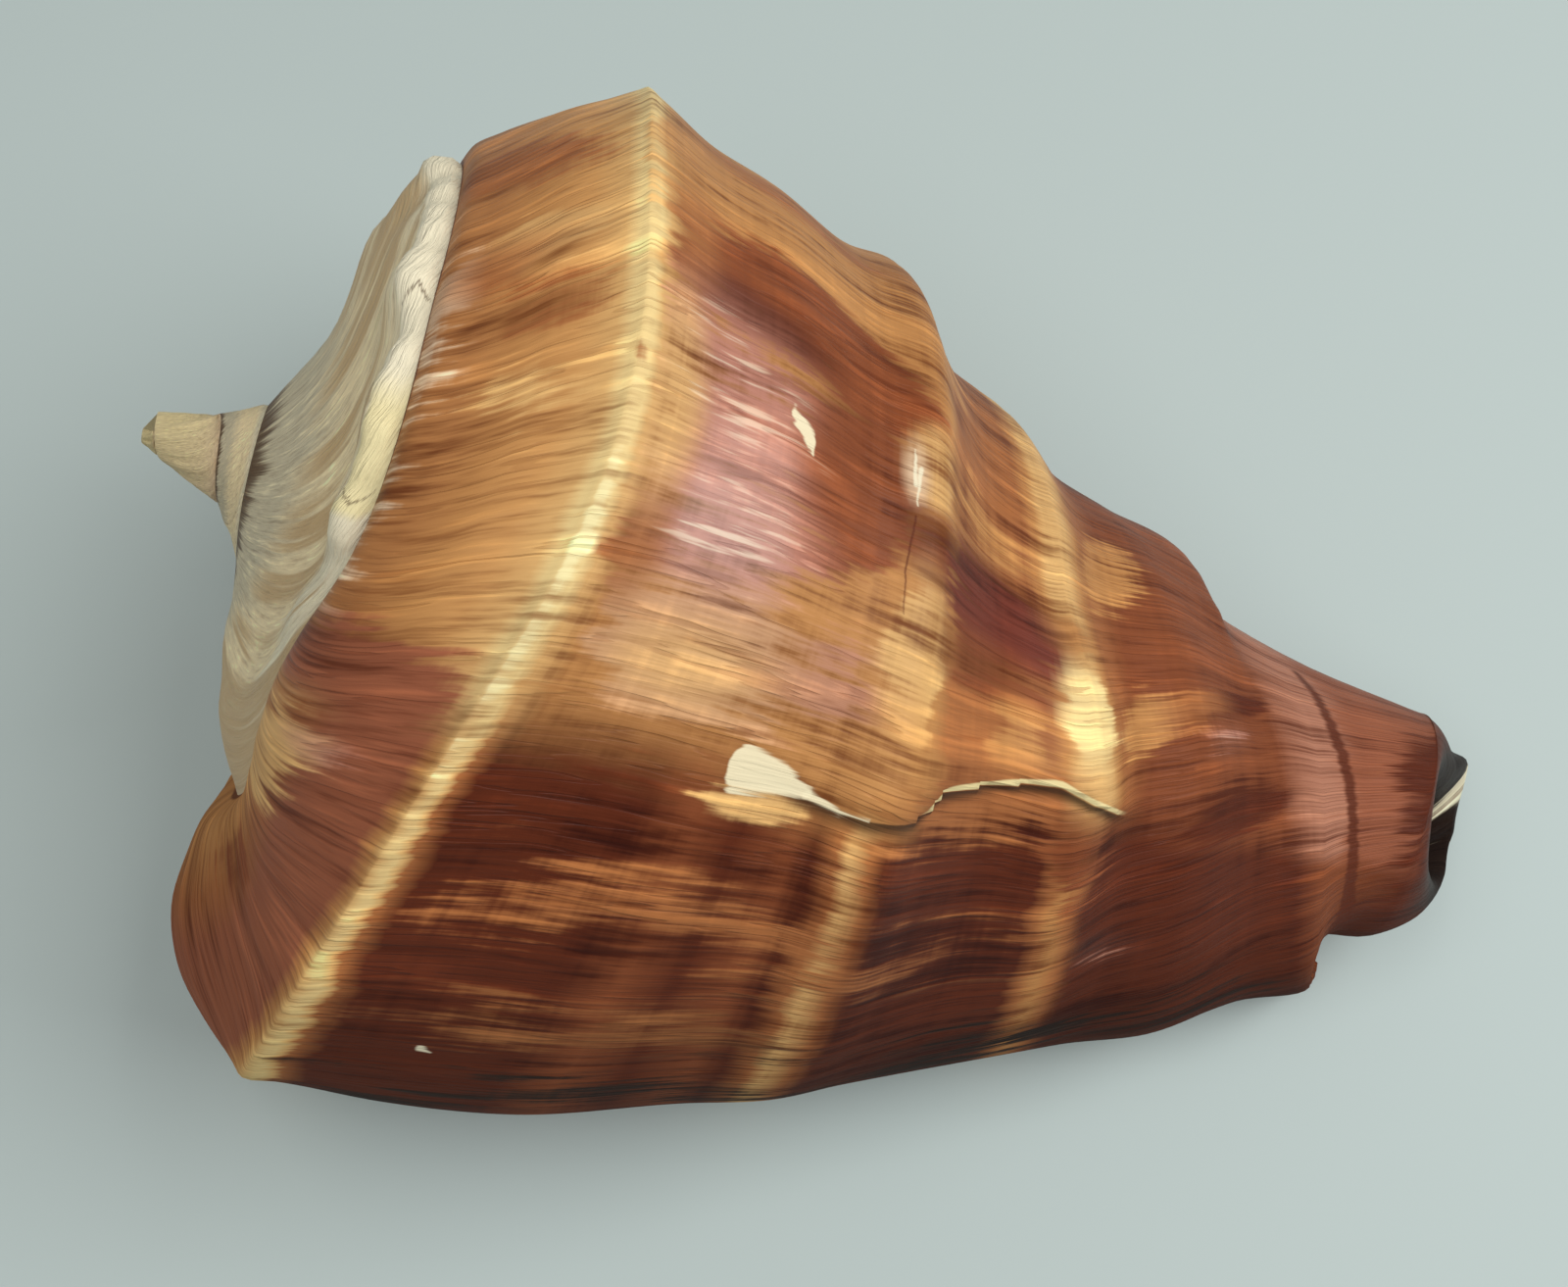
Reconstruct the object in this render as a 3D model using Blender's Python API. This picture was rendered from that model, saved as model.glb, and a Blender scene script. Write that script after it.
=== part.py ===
"""Vase shell: one hollow sea shell, coiled to the right, lying on its mouth with its spire raised.

The wall is worked out in the coil's own frame, in millimetres. X runs down the axis of the coil, from
the tip of the spire to the end of the siphon canal, and a place on the shell is told by three values:
  turn    how far the shell had grown, in turns; 0 is on the last whorl, just before the outer lip
  radius  the distance from the coil's axis
  depth   the distance from the tip of the spire, along the axis
Each turn is a loft: one column of points, from the seam with the turn before down to the canal.
"""

import math

import bmesh
import bpy
import numpy as np
from mathutils import Matrix, Vector

MM = 0.001

# Growth, in turns unless said otherwise
WHORL_RATIO = 1.49  # one turn makes everything this many times larger
LIP_TURN = 0.07  # the edge of the outer lip
BODY_TURN = LIP_TURN - 1.0  # where the last whorl starts
TWIST_TURNS = 0.22  # the growth over which the lip's edge turns to meet the table
HOLLOW_TURNS = 0.86  # how far back the hollow is modelled
MOUTH_TURN = LIP_TURN + 0.045  # just past every point of the lip's edge
FAR_TURN = -0.5  # half a turn before the lip, where the whorl is a little broad and short
FAR_SPREAD = 0.1

# Facets
STEPS_A_TURN = 72
SPIRE_STEPS = 240  # columns before the last whorl, back to the bud at the tip of the spire
HOLLOW_STEPS = 26
SHARP_ANGLE = 35.0

# Walls
WALL = 2.0
KEEL_WALL = 1.5  # how many times thicker the wall is inside the keel
CALLUS = 0.9  # glaze on the inner wall of the mouth
REST_WEAR = 0.35  # how much the shell is worn where it touches the table

# Spiral lines at turn 0, and how far each moves on the far side: (radius, depth)
KEEL = (36.8, 28.7)
KEEL_FAR = (0.9, 0.0)
CORD_2 = (29.25, 53.3)
CORD_2_FAR = (1.9, -1.8)
CORD_3 = (21.7, 66.7)
CORD_3_FAR = (2.0, -1.5)
CORD_4 = (11.5, 89.1)
CORD_4_FAR = (1.6, -2.0)
CORD_4_LIFT = 2.0  # how far it moves towards the spire in the last half turn
FAR_HUMP = 2.4  # how far the wall below cord 3 swells on the far side
LIP_DROP = 9.6  # how far the keel moves towards the spire in the last quarter turn
KEEL_CORNER = 2.8  # how far the keel dips where the last whorl turns from view, before it moves up

# The stub of the canal, and the rim that is cut back round its open end
CANAL_ROOT = 85.3
CANAL_END = 95.0
CANAL_BEND = 2.5  # how far the canal's end leans away from the lip
TIP_LEAN = 0.7  # how far the spire's tip leans the same way
STEM = 0.45  # how thick the stub starts, before the lip wraps over it
RIM_RADIUS = 3.7
RIM_LEAN = (1.8, 1.8)  # how far the rim leans away from the lip, and towards the side it opens to
CUT_BACK = 7.2
CUT_TURN = -0.33
CUT_WIDTH = 0.115
PIT = 8.0

# The seam that the last whorl keeps with the one before: (turn, radius, depth)
SEAM = (
    (-4.3, 0.5, 0.05),
    (-3.8, 1.1, 0.3),
    (-3.3, 1.5, 0.9),
    (-2.8, 1.75, 2.6),
    (-2.3, 2.9, 5.1),
    (-1.3, 5.1, 7.6),
    (-1.05, 7.5, 8.6),
    (-0.75, 17.0, 11.6),
    (-0.5, 22.6, 13.8),
    (-0.35, 23.9, 16.4),
    (-0.25, 24.2, 17.0),
    (-0.19, 21.7, 15.0),
    (-0.11, 20.4, 14.4),
    (-0.02, 19.7, 12.6),
    (0.1, 19.5, 12.2),
)

# The ramp from the seam to the keel: (part of the way, swell, swell at the lobe, swell at the fold)
RAMP = (
    (0.08, 0.9, 1.4, 0.4),
    (0.25, 1.0, 3.2, 1.0),
    (0.42, 0.9, 4.5, 1.1),
    (0.60, 0.7, 4.5, 0.9),
    (0.80, 0.3, 3.1, 0.4),
    (0.94, 0.1, 1.1, 0.0),
)
# The wall between spiral lines: (part of the way, swell gained by the lip, swell that grows with size)
BELOW_KEEL = ((0.06, 0.3, -0.1), (0.25, 2.0, -0.7), (0.50, 2.2, -0.4), (0.80, 1.5, -0.8))
BELOW_CORD_2 = ((0.25, 1.0, -1.0), (0.55, 1.6, -1.6), (0.85, 0.6, -0.6))
BELOW_CORD_3 = ((0.20, 1.4, -1.1), (0.45, 1.2, -0.2), (0.75, 1.0, -0.8))

# The older turns, from seam to seam: part of the way, then swell when young and when worn
WORN = ((0.30, 0.58, -0.5), (0.66, 0.98, -0.9), (0.90, 0.1, 0.0))
SHOULDER = (0.4, 2.7, 0.3)  # a swelling across the worn turn at SHOULDER_TURN
SHOULDER_TURN = -1.50
SHOULDER_SPREAD = 0.11
RIM = 1.2  # the white rim beside the seam
BEAD = 0.3
BEAD_TURNS = (0.085, 0.05)

# Places in a column's list of points
SEAM_POINT = 4  # where the next turn's seam lies
KEEL_POINT = 7
CORD_4_POINT = 20
STUB_SWING = 4  # the points past cord 4 over which the lip's swing dies out

# The outline of the hollow: points of the wall, points of the turn before, and the canal between them
OUTER_POINTS = (2, 3, 4, 5, 7, 9, 10, 11, 12, 14, 16, 18, 20)
INNER_POINTS = (20, 19, 18, 17, 16, 15, 14, 13, 12, 11, 10, 9, 8, 7)
PLEATS = {19: 0.9, 17: 1.2, 15: 1.2}  # the folds on the inner wall, and how far each stands out
CANAL_GROOVE = ((7.5, 85.6), (6.3, 87.4), (5.6, 87.8), (5.0, 87.4), (4.8, 84.0), (5.2, 74.0))
CANAL_HEART = (2.2, 2.0)  # from cord 4 to where the canal starts to open
SHUT = 0.02  # how open the canal is behind the mouth

# The notch from the mouth's end of the canal into the pit: a round bar in the coil's frame
NOTCH_ENDS = ((84.5, -5.5, -1.9), (91.5, 1.2, 1.2))
NOTCH_RADII = (1.4, 2.0)
NOTCH_SIDES = 16

# Rest: the table's plane in the coil's frame
TABLE_DOWN = (0.248, -0.381, -0.891)
TABLE_DEPTH = 30.9
TABLE_BLOCK = 400.0  # the side of the block that takes the wear off

CHESTNUT = (0.52, 0.27, 0.13, 1.0)
GLOSS = 0.35


def growth(turn):
    return WHORL_RATIO**turn


def ease(value, start, end):
    part = np.clip((value - start) / (end - start), 0.0, 1.0)
    return part * part * (3.0 - 2.0 * part)


def swell(value, centre, width):
    return np.exp(-0.5 * ((value - centre) / width) ** 2)


def through(points, value):
    """The smooth curve through (place, height) points, read at value."""
    places, heights = np.array(points, float).T
    slopes = np.gradient(heights, places)
    value = np.clip(value, places[0], places[-1])
    left = np.clip(np.searchsorted(places, value) - 1, 0, len(places) - 2)
    span = places[left + 1] - places[left]
    part = (value - places[left]) / span
    rise = part * part * (3.0 - 2.0 * part)
    return (
        heights[left] * (1.0 - rise)
        + heights[left + 1] * rise
        + span * slopes[left] * part * (1.0 - part) ** 2
        - span * slopes[left + 1] * (1.0 - part) * part**2
    )


def seam(turn):
    radius = through([(place, r) for place, r, _ in SEAM], turn)
    depth = through([(place, d) for place, _, d in SEAM], turn)
    return np.array((radius, depth))


def spiral_line(size, far, turn):
    """A line that keeps its place on the growing whorl, moved a little on the far side."""
    return np.array(size) * growth(turn) + np.array(far) * swell(turn, FAR_TURN, FAR_SPREAD)


def keel(turn):
    corner = KEEL_CORNER * swell(turn, -0.30, 0.056) - 0.8 * swell(turn, -0.17, 0.1)
    drop = LIP_DROP * ease(turn, -0.28, -0.01)
    return spiral_line(KEEL, KEEL_FAR, turn) + np.array((-swell(turn, -0.26, 0.07), corner - drop))


def cord_2(turn):
    return spiral_line(CORD_2, CORD_2_FAR, turn) - np.array((0.0, swell(turn, -0.04, 0.05)))


def cord_3(turn):
    flare = 0.9 * ease(turn, -0.08, 0.0)
    early = 2.2 * (1.0 - ease(turn, -0.33, -0.25))
    return spiral_line(CORD_3, CORD_3_FAR, turn) + np.array((flare, -early))


def cord_4(turn):
    lift = CORD_4_LIFT * ease(turn, -0.42, -0.12)
    return spiral_line(CORD_4, CORD_4_FAR, turn) - np.array((0.0, lift))


def between(start, end, part, out):
    """The point part of the way from start to end, moved out from the line between them."""
    way = end - start
    outward = np.array((way[1], -way[0])) / np.hypot(*way)
    return start + way * part + outward * out


def canal_rings(turn):
    """The stub of the canal: a groove under cord 4, a bulge, and a rim round a pit."""
    side = math.cos(2.0 * math.pi * turn)  # 1 on the lip's side, -1 across from it
    front = -math.sin(2.0 * math.pi * turn)
    wrap = STEM + (1.0 - STEM) * ease(turn, BODY_TURN, BODY_TURN + 0.4)  # the lip wraps over the start
    root = np.array(((8.9 - 0.3 * side) * wrap, CANAL_ROOT - 0.4 * side))
    cut_back = CUT_BACK * swell(turn, CUT_TURN, CUT_WIDTH) + 0.6 * (1.0 + side)
    rim = np.array((RIM_RADIUS - RIM_LEAN[0] * side + RIM_LEAN[1] * front, CANAL_END - cut_back))
    return [
        between(cord_4(turn), root, 0.55, -0.3),
        root,
        between(root, rim, 0.35, 1.1 * wrap),
        between(root, rim, 0.75, 0.9 * wrap),
        rim,
        np.array((0.0, CANAL_END - PIT)),
    ]


def column(turn):
    """The (radius, depth) points of the last whorl at one stage of growth, seam first."""
    size = growth(turn)
    lobe = ease(turn, -0.10, 0.02) + 0.6 * (1.0 - ease(turn, -0.90, -0.70))
    fold = swell(turn, -0.19, 0.05)
    full = ease(turn, -0.25, 0.0)
    far = FAR_HUMP * swell(turn, FAR_TURN, 0.06)
    first, corner = seam(turn), keel(turn)
    points = [first]
    for part, plain, at_lobe, at_fold in RAMP:
        points.append(between(first, corner, part, plain + at_lobe * lobe + at_fold * fold))
    lines = (corner, cord_2(turn), cord_3(turn), cord_4(turn))
    for start, end, wall in zip(lines, lines[1:], (BELOW_KEEL, BELOW_CORD_2, BELOW_CORD_3)):
        points.append(start)
        for part, gained, grown in wall:
            hump = far * ease(part, 0.4, 0.8) if wall is BELOW_CORD_3 else 0.0
            points.append(between(start, end, part, gained * full + grown * size + hump))
    points.append(lines[-1])
    return np.array(points + canal_rings(turn))


def last_column(turn):
    """A column of the last whorl, drawn in where it starts, to pass through the seam at the lip."""
    points = column(turn)
    gap = seam(LIP_TURN) - column(BODY_TURN)[SEAM_POINT]
    near = np.maximum(1.0 - np.abs(np.arange(len(points)) - SEAM_POINT) / SEAM_POINT, 0.0)
    fade = 1.0 - ease(turn, BODY_TURN, BODY_TURN + 0.25)
    return points + gap * near[:, None] * fade


def spire_column(turn):
    """A column of an older turn, from its own seam to the one that the next turn keeps with it."""
    inner, outer = seam(turn), seam(turn + 1.0)
    young = 1.0 - ease(turn, -2.2, -1.7)
    beads = BEAD * sum(math.cos(2.0 * math.pi * turn / pitch) for pitch in BEAD_TURNS)
    rim = (RIM + beads) * ease(turn, -1.58, -1.42) * (1.0 - ease(turn, -1.26, -1.17))
    shoulder = swell(turn, SHOULDER_TURN, SHOULDER_SPREAD)
    offsets = []
    for (part, fresh, worn), swollen in zip(WORN, SHOULDER):
        offsets.append((part, fresh * young + worn + swollen * shoulder))
    offsets[-1] = (offsets[-1][0], offsets[-1][1] + rim)
    points = np.array([inner] + [between(inner, outer, part, out) for part, out in offsets] + [outer])
    joining = ease(turn, BODY_TURN - 0.3, BODY_TURN)
    points = points * (1.0 - joining) + last_column(turn)[: SEAM_POINT + 1] * joining
    points[0], points[SEAM_POINT] = inner, outer
    return points


def lip_swing(points):
    """How many turns past the lip's own each point of its edge lies.

    From the keel to the canal the edge lies on the table. Above the keel it swings back to the seam.
    """
    reach = math.hypot(TABLE_DOWN[1], TABLE_DOWN[2])
    lean = math.atan2(-TABLE_DOWN[1], -TABLE_DOWN[2])
    share = (TABLE_DEPTH - TABLE_DOWN[0] * points[:, 1]) / (np.maximum(points[:, 0], 1.0) * reach)
    swing = (np.arcsin(np.clip(share, -1.0, 0.95)) - lean) / (2.0 * math.pi) - LIP_TURN
    above = np.arange(KEEL_POINT) / KEEL_POINT
    swing[:KEEL_POINT] = swing[KEEL_POINT] * above**2 - 0.02 * np.sin(math.pi * above)
    stub = np.arange(len(points) - CORD_4_POINT)
    swing[CORD_4_POINT:] = swing[CORD_4_POINT] * np.clip(1.0 - stub / STUB_SWING, 0.0, 1.0)
    return swing


LIP_SWING = lip_swing(column(LIP_TURN))


def place(turn, point):
    """The coil frame's X, Y, Z of a (radius, depth) point at one stage of growth, in millimetres."""
    angle = 2.0 * math.pi * turn
    radius, depth = point
    bend = CANAL_BEND * ease(depth, CANAL_END - 4.0, CANAL_END)
    bend += TIP_LEAN * (1.0 - ease(depth, 7.0, 13.0))
    return Vector((depth, bend - radius * math.cos(angle), -radius * math.sin(angle)))


def swung_column(turn):
    """The placed points of a last-whorl column, swung round with the lip as they near it."""
    swings = LIP_SWING * ease(turn, LIP_TURN - TWIST_TURNS, LIP_TURN)
    return [place(turn + swing, last_column(turn + swing)[i]) for i, swing in enumerate(swings)]


def add_quads(mesh, left, right):
    """Joins two columns of points, leaving out an edge that has shrunk to a point."""
    for a, b, c, d in zip(left, left[1:], right[1:], right):
        corners = [vert for i, vert in enumerate((a, b, c, d)) if vert not in (a, b, c, d)[:i]]
        if len(corners) > 2:
            mesh.faces.new(corners)


def solid_coil():
    """The whole coil as a filled solid, with a flat face across its mouth."""
    mesh = bmesh.new()
    last = SPIRE_STEPS + STEPS_A_TURN
    turns = [LIP_TURN + (i - last) / STEPS_A_TURN for i in range(last + 1)]
    tip = mesh.verts.new(place(0.0, (0.0, 0.0)))
    canal_end = mesh.verts.new(place(0.0, (0.0, CANAL_END - PIT)))
    rows = []
    for i, turn in enumerate(turns):
        if i < SPIRE_STEPS:
            places = [place(turn, point) for point in spire_column(turn)[:SEAM_POINT]]
        else:
            places = swung_column(turn)[:-1]
        rows.append([mesh.verts.new(at) for at in places])
    for i, row in enumerate(rows):
        if i < SPIRE_STEPS:
            row.append(rows[i + STEPS_A_TURN][0])
        else:
            row.append(canal_end)
    start = rows[SPIRE_STEPS]
    mesh.verts.remove(start[SEAM_POINT])
    start[SEAM_POINT] = rows[last][0]
    for left, right in zip(rows, rows[1:]):
        shared = min(len(left), len(right))
        add_quads(mesh, left[:shared], right[:shared])
    for left, right in zip(rows[:STEPS_A_TURN], rows[1:]):
        mesh.faces.new((tip, left[0], right[0]))
    for inner, outer in zip(rows[0], rows[0][1:]):
        mesh.faces.new((tip, outer, inner))
    far = [start[max(i, SEAM_POINT)] for i in range(len(start))]
    add_quads(mesh, rows[last], far)
    bmesh.ops.triangulate(mesh, faces=mesh.faces[:])
    bmesh.ops.recalc_face_normals(mesh, faces=mesh.faces[:])
    return mesh


def outward(points):
    """The unit normals of a column in its half-plane, pointing away from the axis."""
    ways = np.gradient(points, axis=0)
    return np.stack((ways[:, 1], -ways[:, 0]), axis=1) / np.hypot(ways[:, 0], ways[:, 1])[:, None]


def hollow_section(turn, past_lip=False):
    """The placed outline of the hollow at one stage of growth, or that outline moved past the lip."""
    swings = LIP_SWING * ease(turn, LIP_TURN - TWIST_TURNS, LIP_TURN)
    size = growth(turn)
    here = MOUTH_TURN if past_lip else turn
    places = []
    for i in OUTER_POINTS:
        at = turn + swings[i]
        whorl = column(at)
        wall = WALL * size * (KEEL_WALL if i == KEEL_POINT else 1.0)
        places.append(place(MOUTH_TURN if past_lip else at, whorl[i] - outward(whorl)[i] * wall))
    older = column(turn - 1.0)
    normals = outward(older)
    inner = [older[i] + normals[i] * (CALLUS + PLEATS.get(i, 0.0)) * size for i in INNER_POINTS]
    heart = (column(turn)[CORD_4_POINT] - np.array(CANAL_HEART) + inner[0]) / 2.0
    open_by = SHUT + (1.0 - SHUT) * ease(turn, LIP_TURN - 0.13, LIP_TURN - 0.02)
    places += [place(here, heart + (np.array(point) - heart) * open_by) for point in CANAL_GROOVE]
    places += [place(here, point) for point in inner]
    return places


def hollow_cutter():
    """The horn-shaped hollow that runs from the mouth back up the coil."""
    mesh = bmesh.new()
    rings = []
    for i in range(HOLLOW_STEPS + 1):
        turn = LIP_TURN - HOLLOW_TURNS * (1.0 - i / HOLLOW_STEPS)
        rings.append([mesh.verts.new(at) for at in hollow_section(turn)])
    rings.append([mesh.verts.new(at) for at in hollow_section(LIP_TURN, past_lip=True)])
    for ring, following in zip(rings, rings[1:]):
        add_quads(mesh, ring + ring[:1], following + following[:1])
    for ring in (rings[0], rings[-1]):
        mesh.faces.new(ring)
    bmesh.ops.triangulate(mesh, faces=mesh.faces[:])
    bmesh.ops.recalc_face_normals(mesh, faces=mesh.faces[:])
    return mesh


def coil_to_row():
    """The turn that lays the coil's frame on the table: +Z up, and +X from the spire to the canal."""
    up = -Vector(TABLE_DOWN).normalized()
    along = Vector((1.0, 0.0, 0.0))
    along = (along - up * along.dot(up)).normalized()
    across = up.cross(along)
    return Matrix((along, across, up))


def new_object(name, mesh, collection, material=None):
    data = bpy.data.meshes.new(name)
    mesh.to_mesh(data)
    mesh.free()
    if material:
        data.materials.append(material)
    made = bpy.data.objects.new(name, data)
    collection.objects.link(made)
    return made


def hide_cutter(cutter):
    cutter.hide_render = True
    cutter.display_type = "WIRE"


def cut(target, cutter):
    hide_cutter(cutter)
    modifier = target.modifiers.new(cutter.name, "BOOLEAN")
    modifier.operation = "DIFFERENCE"
    modifier.solver = "EXACT"
    modifier.object = cutter


def notch_cutter():
    """A round bar that leaves the canal through the end of the stub, on the side away from the mouth."""
    mesh = bmesh.new()
    start, end = (Vector(point) for point in NOTCH_ENDS)
    way = end - start
    lie = Matrix.Translation((start + end) / 2.0) @ way.to_track_quat("Z", "Y").to_matrix().to_4x4()
    bmesh.ops.create_cone(
        mesh,
        cap_ends=True,
        segments=NOTCH_SIDES,
        radius1=NOTCH_RADII[0],
        radius2=NOTCH_RADII[1],
        depth=way.length,
        matrix=lie,
    )
    return mesh


def table_cutter():
    mesh = bmesh.new()
    under = Matrix.Translation((0.0, 0.0, -TABLE_BLOCK / 2.0))
    bmesh.ops.create_cube(mesh, size=TABLE_BLOCK, matrix=under)
    return mesh


def shell_material():
    material = bpy.data.materials.new("shell_chestnut")
    material.use_nodes = True
    surface = material.node_tree.nodes["Principled BSDF"]
    surface.inputs["Base Color"].default_value = CHESTNUT
    surface.inputs["Roughness"].default_value = GLOSS
    surface.inputs["Metallic"].default_value = 0.0
    return material


def main():
    for old in list(bpy.data.objects):
        bpy.data.objects.remove(old)
    parts = bpy.data.collections.new("vase_shell")
    cutters = bpy.data.collections.new("cutters")
    for collection in (parts, cutters):
        bpy.context.scene.collection.children.link(collection)

    coil = solid_coil()
    turned = coil_to_row().to_4x4()
    coil.transform(turned)
    spots = np.array([vert.co for vert in coil.verts])
    low, high = spots.min(axis=0), spots.max(axis=0)
    centre = (low + high) / 2.0
    stand = Matrix.Translation((-centre[0], -centre[1], -low[2] - REST_WEAR))
    to_metres = Matrix.Scale(MM, 4)
    coil.transform(to_metres @ stand)
    shell = new_object("shell", coil, parts, shell_material())

    hollow, notch, table = hollow_cutter(), notch_cutter(), table_cutter()
    hollow.transform(to_metres @ stand @ turned)
    notch.transform(to_metres @ stand @ turned)
    table.transform(to_metres)
    for name, cutter in (("hollow", hollow), ("notch", notch), ("table", table)):
        cut(shell, new_object(name, cutter, cutters))
    shell.data.shade_smooth()
    shell.data.set_sharp_from_angle(angle=math.radians(SHARP_ANGLE))


main()
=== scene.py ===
"""The looks of a vase shell: its wall modelled fine, its finishes, and the studio that it lies in.

The shell is worked out in its coil's own frame, in millimetres. X runs down the coil's axis, from the tip
of the spire to the end of the canal. A place on it is told by three values: turn, how far the shell had
grown, where 0 is just before the outer lip; radius, the distance from the axis; and depth, the distance from
the tip along the axis. A station is a place along the wall's profile, from 0 at the seam to 26 at the
canal's end; the keel is at 7 and the cords are at 12, 16 and 20.
"""

import functools
import logging
import math
from collections.abc import Callable
from dataclasses import dataclass
from enum import Enum

import bpy
import numpy as np
from mathutils import Matrix, Vector


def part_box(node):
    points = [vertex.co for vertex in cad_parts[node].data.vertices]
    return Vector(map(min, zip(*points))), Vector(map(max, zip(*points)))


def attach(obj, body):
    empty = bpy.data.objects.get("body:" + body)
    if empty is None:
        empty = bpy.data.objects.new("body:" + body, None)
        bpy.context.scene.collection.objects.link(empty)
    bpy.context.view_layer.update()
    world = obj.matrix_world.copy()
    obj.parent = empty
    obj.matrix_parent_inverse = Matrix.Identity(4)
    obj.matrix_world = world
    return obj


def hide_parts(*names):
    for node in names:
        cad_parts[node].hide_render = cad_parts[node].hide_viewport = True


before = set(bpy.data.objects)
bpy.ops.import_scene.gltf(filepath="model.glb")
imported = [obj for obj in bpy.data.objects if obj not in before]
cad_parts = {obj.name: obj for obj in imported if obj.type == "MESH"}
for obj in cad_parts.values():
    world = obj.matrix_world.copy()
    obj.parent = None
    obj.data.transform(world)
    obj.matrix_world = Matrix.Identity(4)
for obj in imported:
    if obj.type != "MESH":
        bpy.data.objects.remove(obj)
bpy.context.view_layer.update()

MM = 0.001
CIRCLE = 2.0 * math.pi
log = logging.getLogger("vase_shell")

# What the finish reads: a map of the growth lines between two turns, and attributes at the faces' corners
GROWTH_MAP = "growth"
FIRST_TURN = -4.4
LAST_TURN = 0.2
TURN = "turn"
STATION = "station"
STAIN = "stain"
SHINE = "shine"

Array = np.ndarray
Pair = tuple[float, float]
Triple = tuple[float, float, float]
Quad = tuple[float, float, float, float]


def ease(value: Array | float, start: float, end: float) -> Array:
    """A smooth rise from 0 at start to 1 at end."""
    part = np.clip((np.asarray(value, float) - start) / (end - start), 0.0, 1.0)
    return part * part * (3.0 - 2.0 * part)


def swell(value: Array | float, centre: float, width: float) -> Array:
    """A smooth hump of height 1 round a centre."""
    return np.exp(-0.5 * ((np.asarray(value, float) - centre) / width) ** 2)


def hump(value: Array, height: float, centre: float, width: float) -> Array:
    """A swell of a given height."""
    return height * swell(value, centre, width)


def climb(value: Array, size: float, start: float, end: float) -> Array:
    """A smooth rise from 0 at start to a given size at end."""
    return size * ease(value, start, end)


def fall(value: Array, size: float, start: float, end: float) -> Array:
    """A smooth fall from a given size at start to 0 at end."""
    return size * (1.0 - ease(value, start, end))


def window(value: Array, start: float, full: float, fading: float, end: float) -> Array:
    """A smooth rise to 1, and then a smooth fall back to 0."""
    return ease(value, start, full) * (1.0 - ease(value, fading, end))


def spline(knots: Array, heights: Array, value: Array) -> Array:
    """Reads the smooth curve through some heights.

    Args:
        knots: The places of the heights, rising.
        heights: One height for each knot on the last axis but one, and coordinates on the last.
        value: The places to read, within the knots.

    Returns:
        The heights there, with the places in the knots' stead.
    """
    slopes = np.gradient(heights, knots, axis=-2)
    left = np.clip(np.searchsorted(knots, value, side="right") - 1, 0, len(knots) - 2)
    span = (knots[left + 1] - knots[left])[:, None]
    part = (value - knots[left])[:, None] / span
    rise = part * part * (3.0 - 2.0 * part)
    flat = heights[..., left, :] * (1.0 - rise) + heights[..., left + 1, :] * rise
    leave = span * slopes[..., left, :] * part * (1.0 - part) ** 2
    arrive = span * slopes[..., left + 1, :] * (1.0 - part) * part**2
    return flat + leave - arrive


def pair(radius: Array | float, depth: Array | float) -> Array:
    """A (radius, depth) point for each turn, from numbers or arrays."""
    return np.stack(np.broadcast_arrays(np.asarray(radius, float), np.asarray(depth, float)), axis=-1)


def between(start: Array, end: Array, part: float, out: Array | float) -> Array:
    """A point beside the line between two others.

    Args:
        start: The point that the line leaves, for each turn.
        end: The point that it reaches.
        part: How far along the line the new point is, from 0 to 1.
        out: How far it is moved out from the line.

    Returns:
        The new point, for each turn.
    """
    way = end - start
    length = np.hypot(way[..., 0], way[..., 1])
    normal = pair(way[..., 1], -way[..., 0]) / length[..., None]
    return start + way * part + normal * np.asarray(out, float)[..., None]


def outward(points: Array) -> Array:
    """The directions in which profiles face.

    Args:
        points: The profiles, with their points on the last axis but one and (radius, depth) on the last.

    Returns:
        The unit normal at each point, pointing away from the axis.
    """
    ways = np.gradient(points, axis=-2)
    length = np.maximum(np.hypot(ways[..., 0], ways[..., 1]), 1e-9)
    return pair(ways[..., 1], -ways[..., 0]) / length[..., None]


class Station(int, Enum):
    """Named places along the wall's profile."""

    SEAM = 0
    NEXT_SEAM = 4
    KEEL = 7
    CORD_2 = 12
    CORD_3 = 16
    CORD_4 = 20
    CANAL_END = 26


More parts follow.
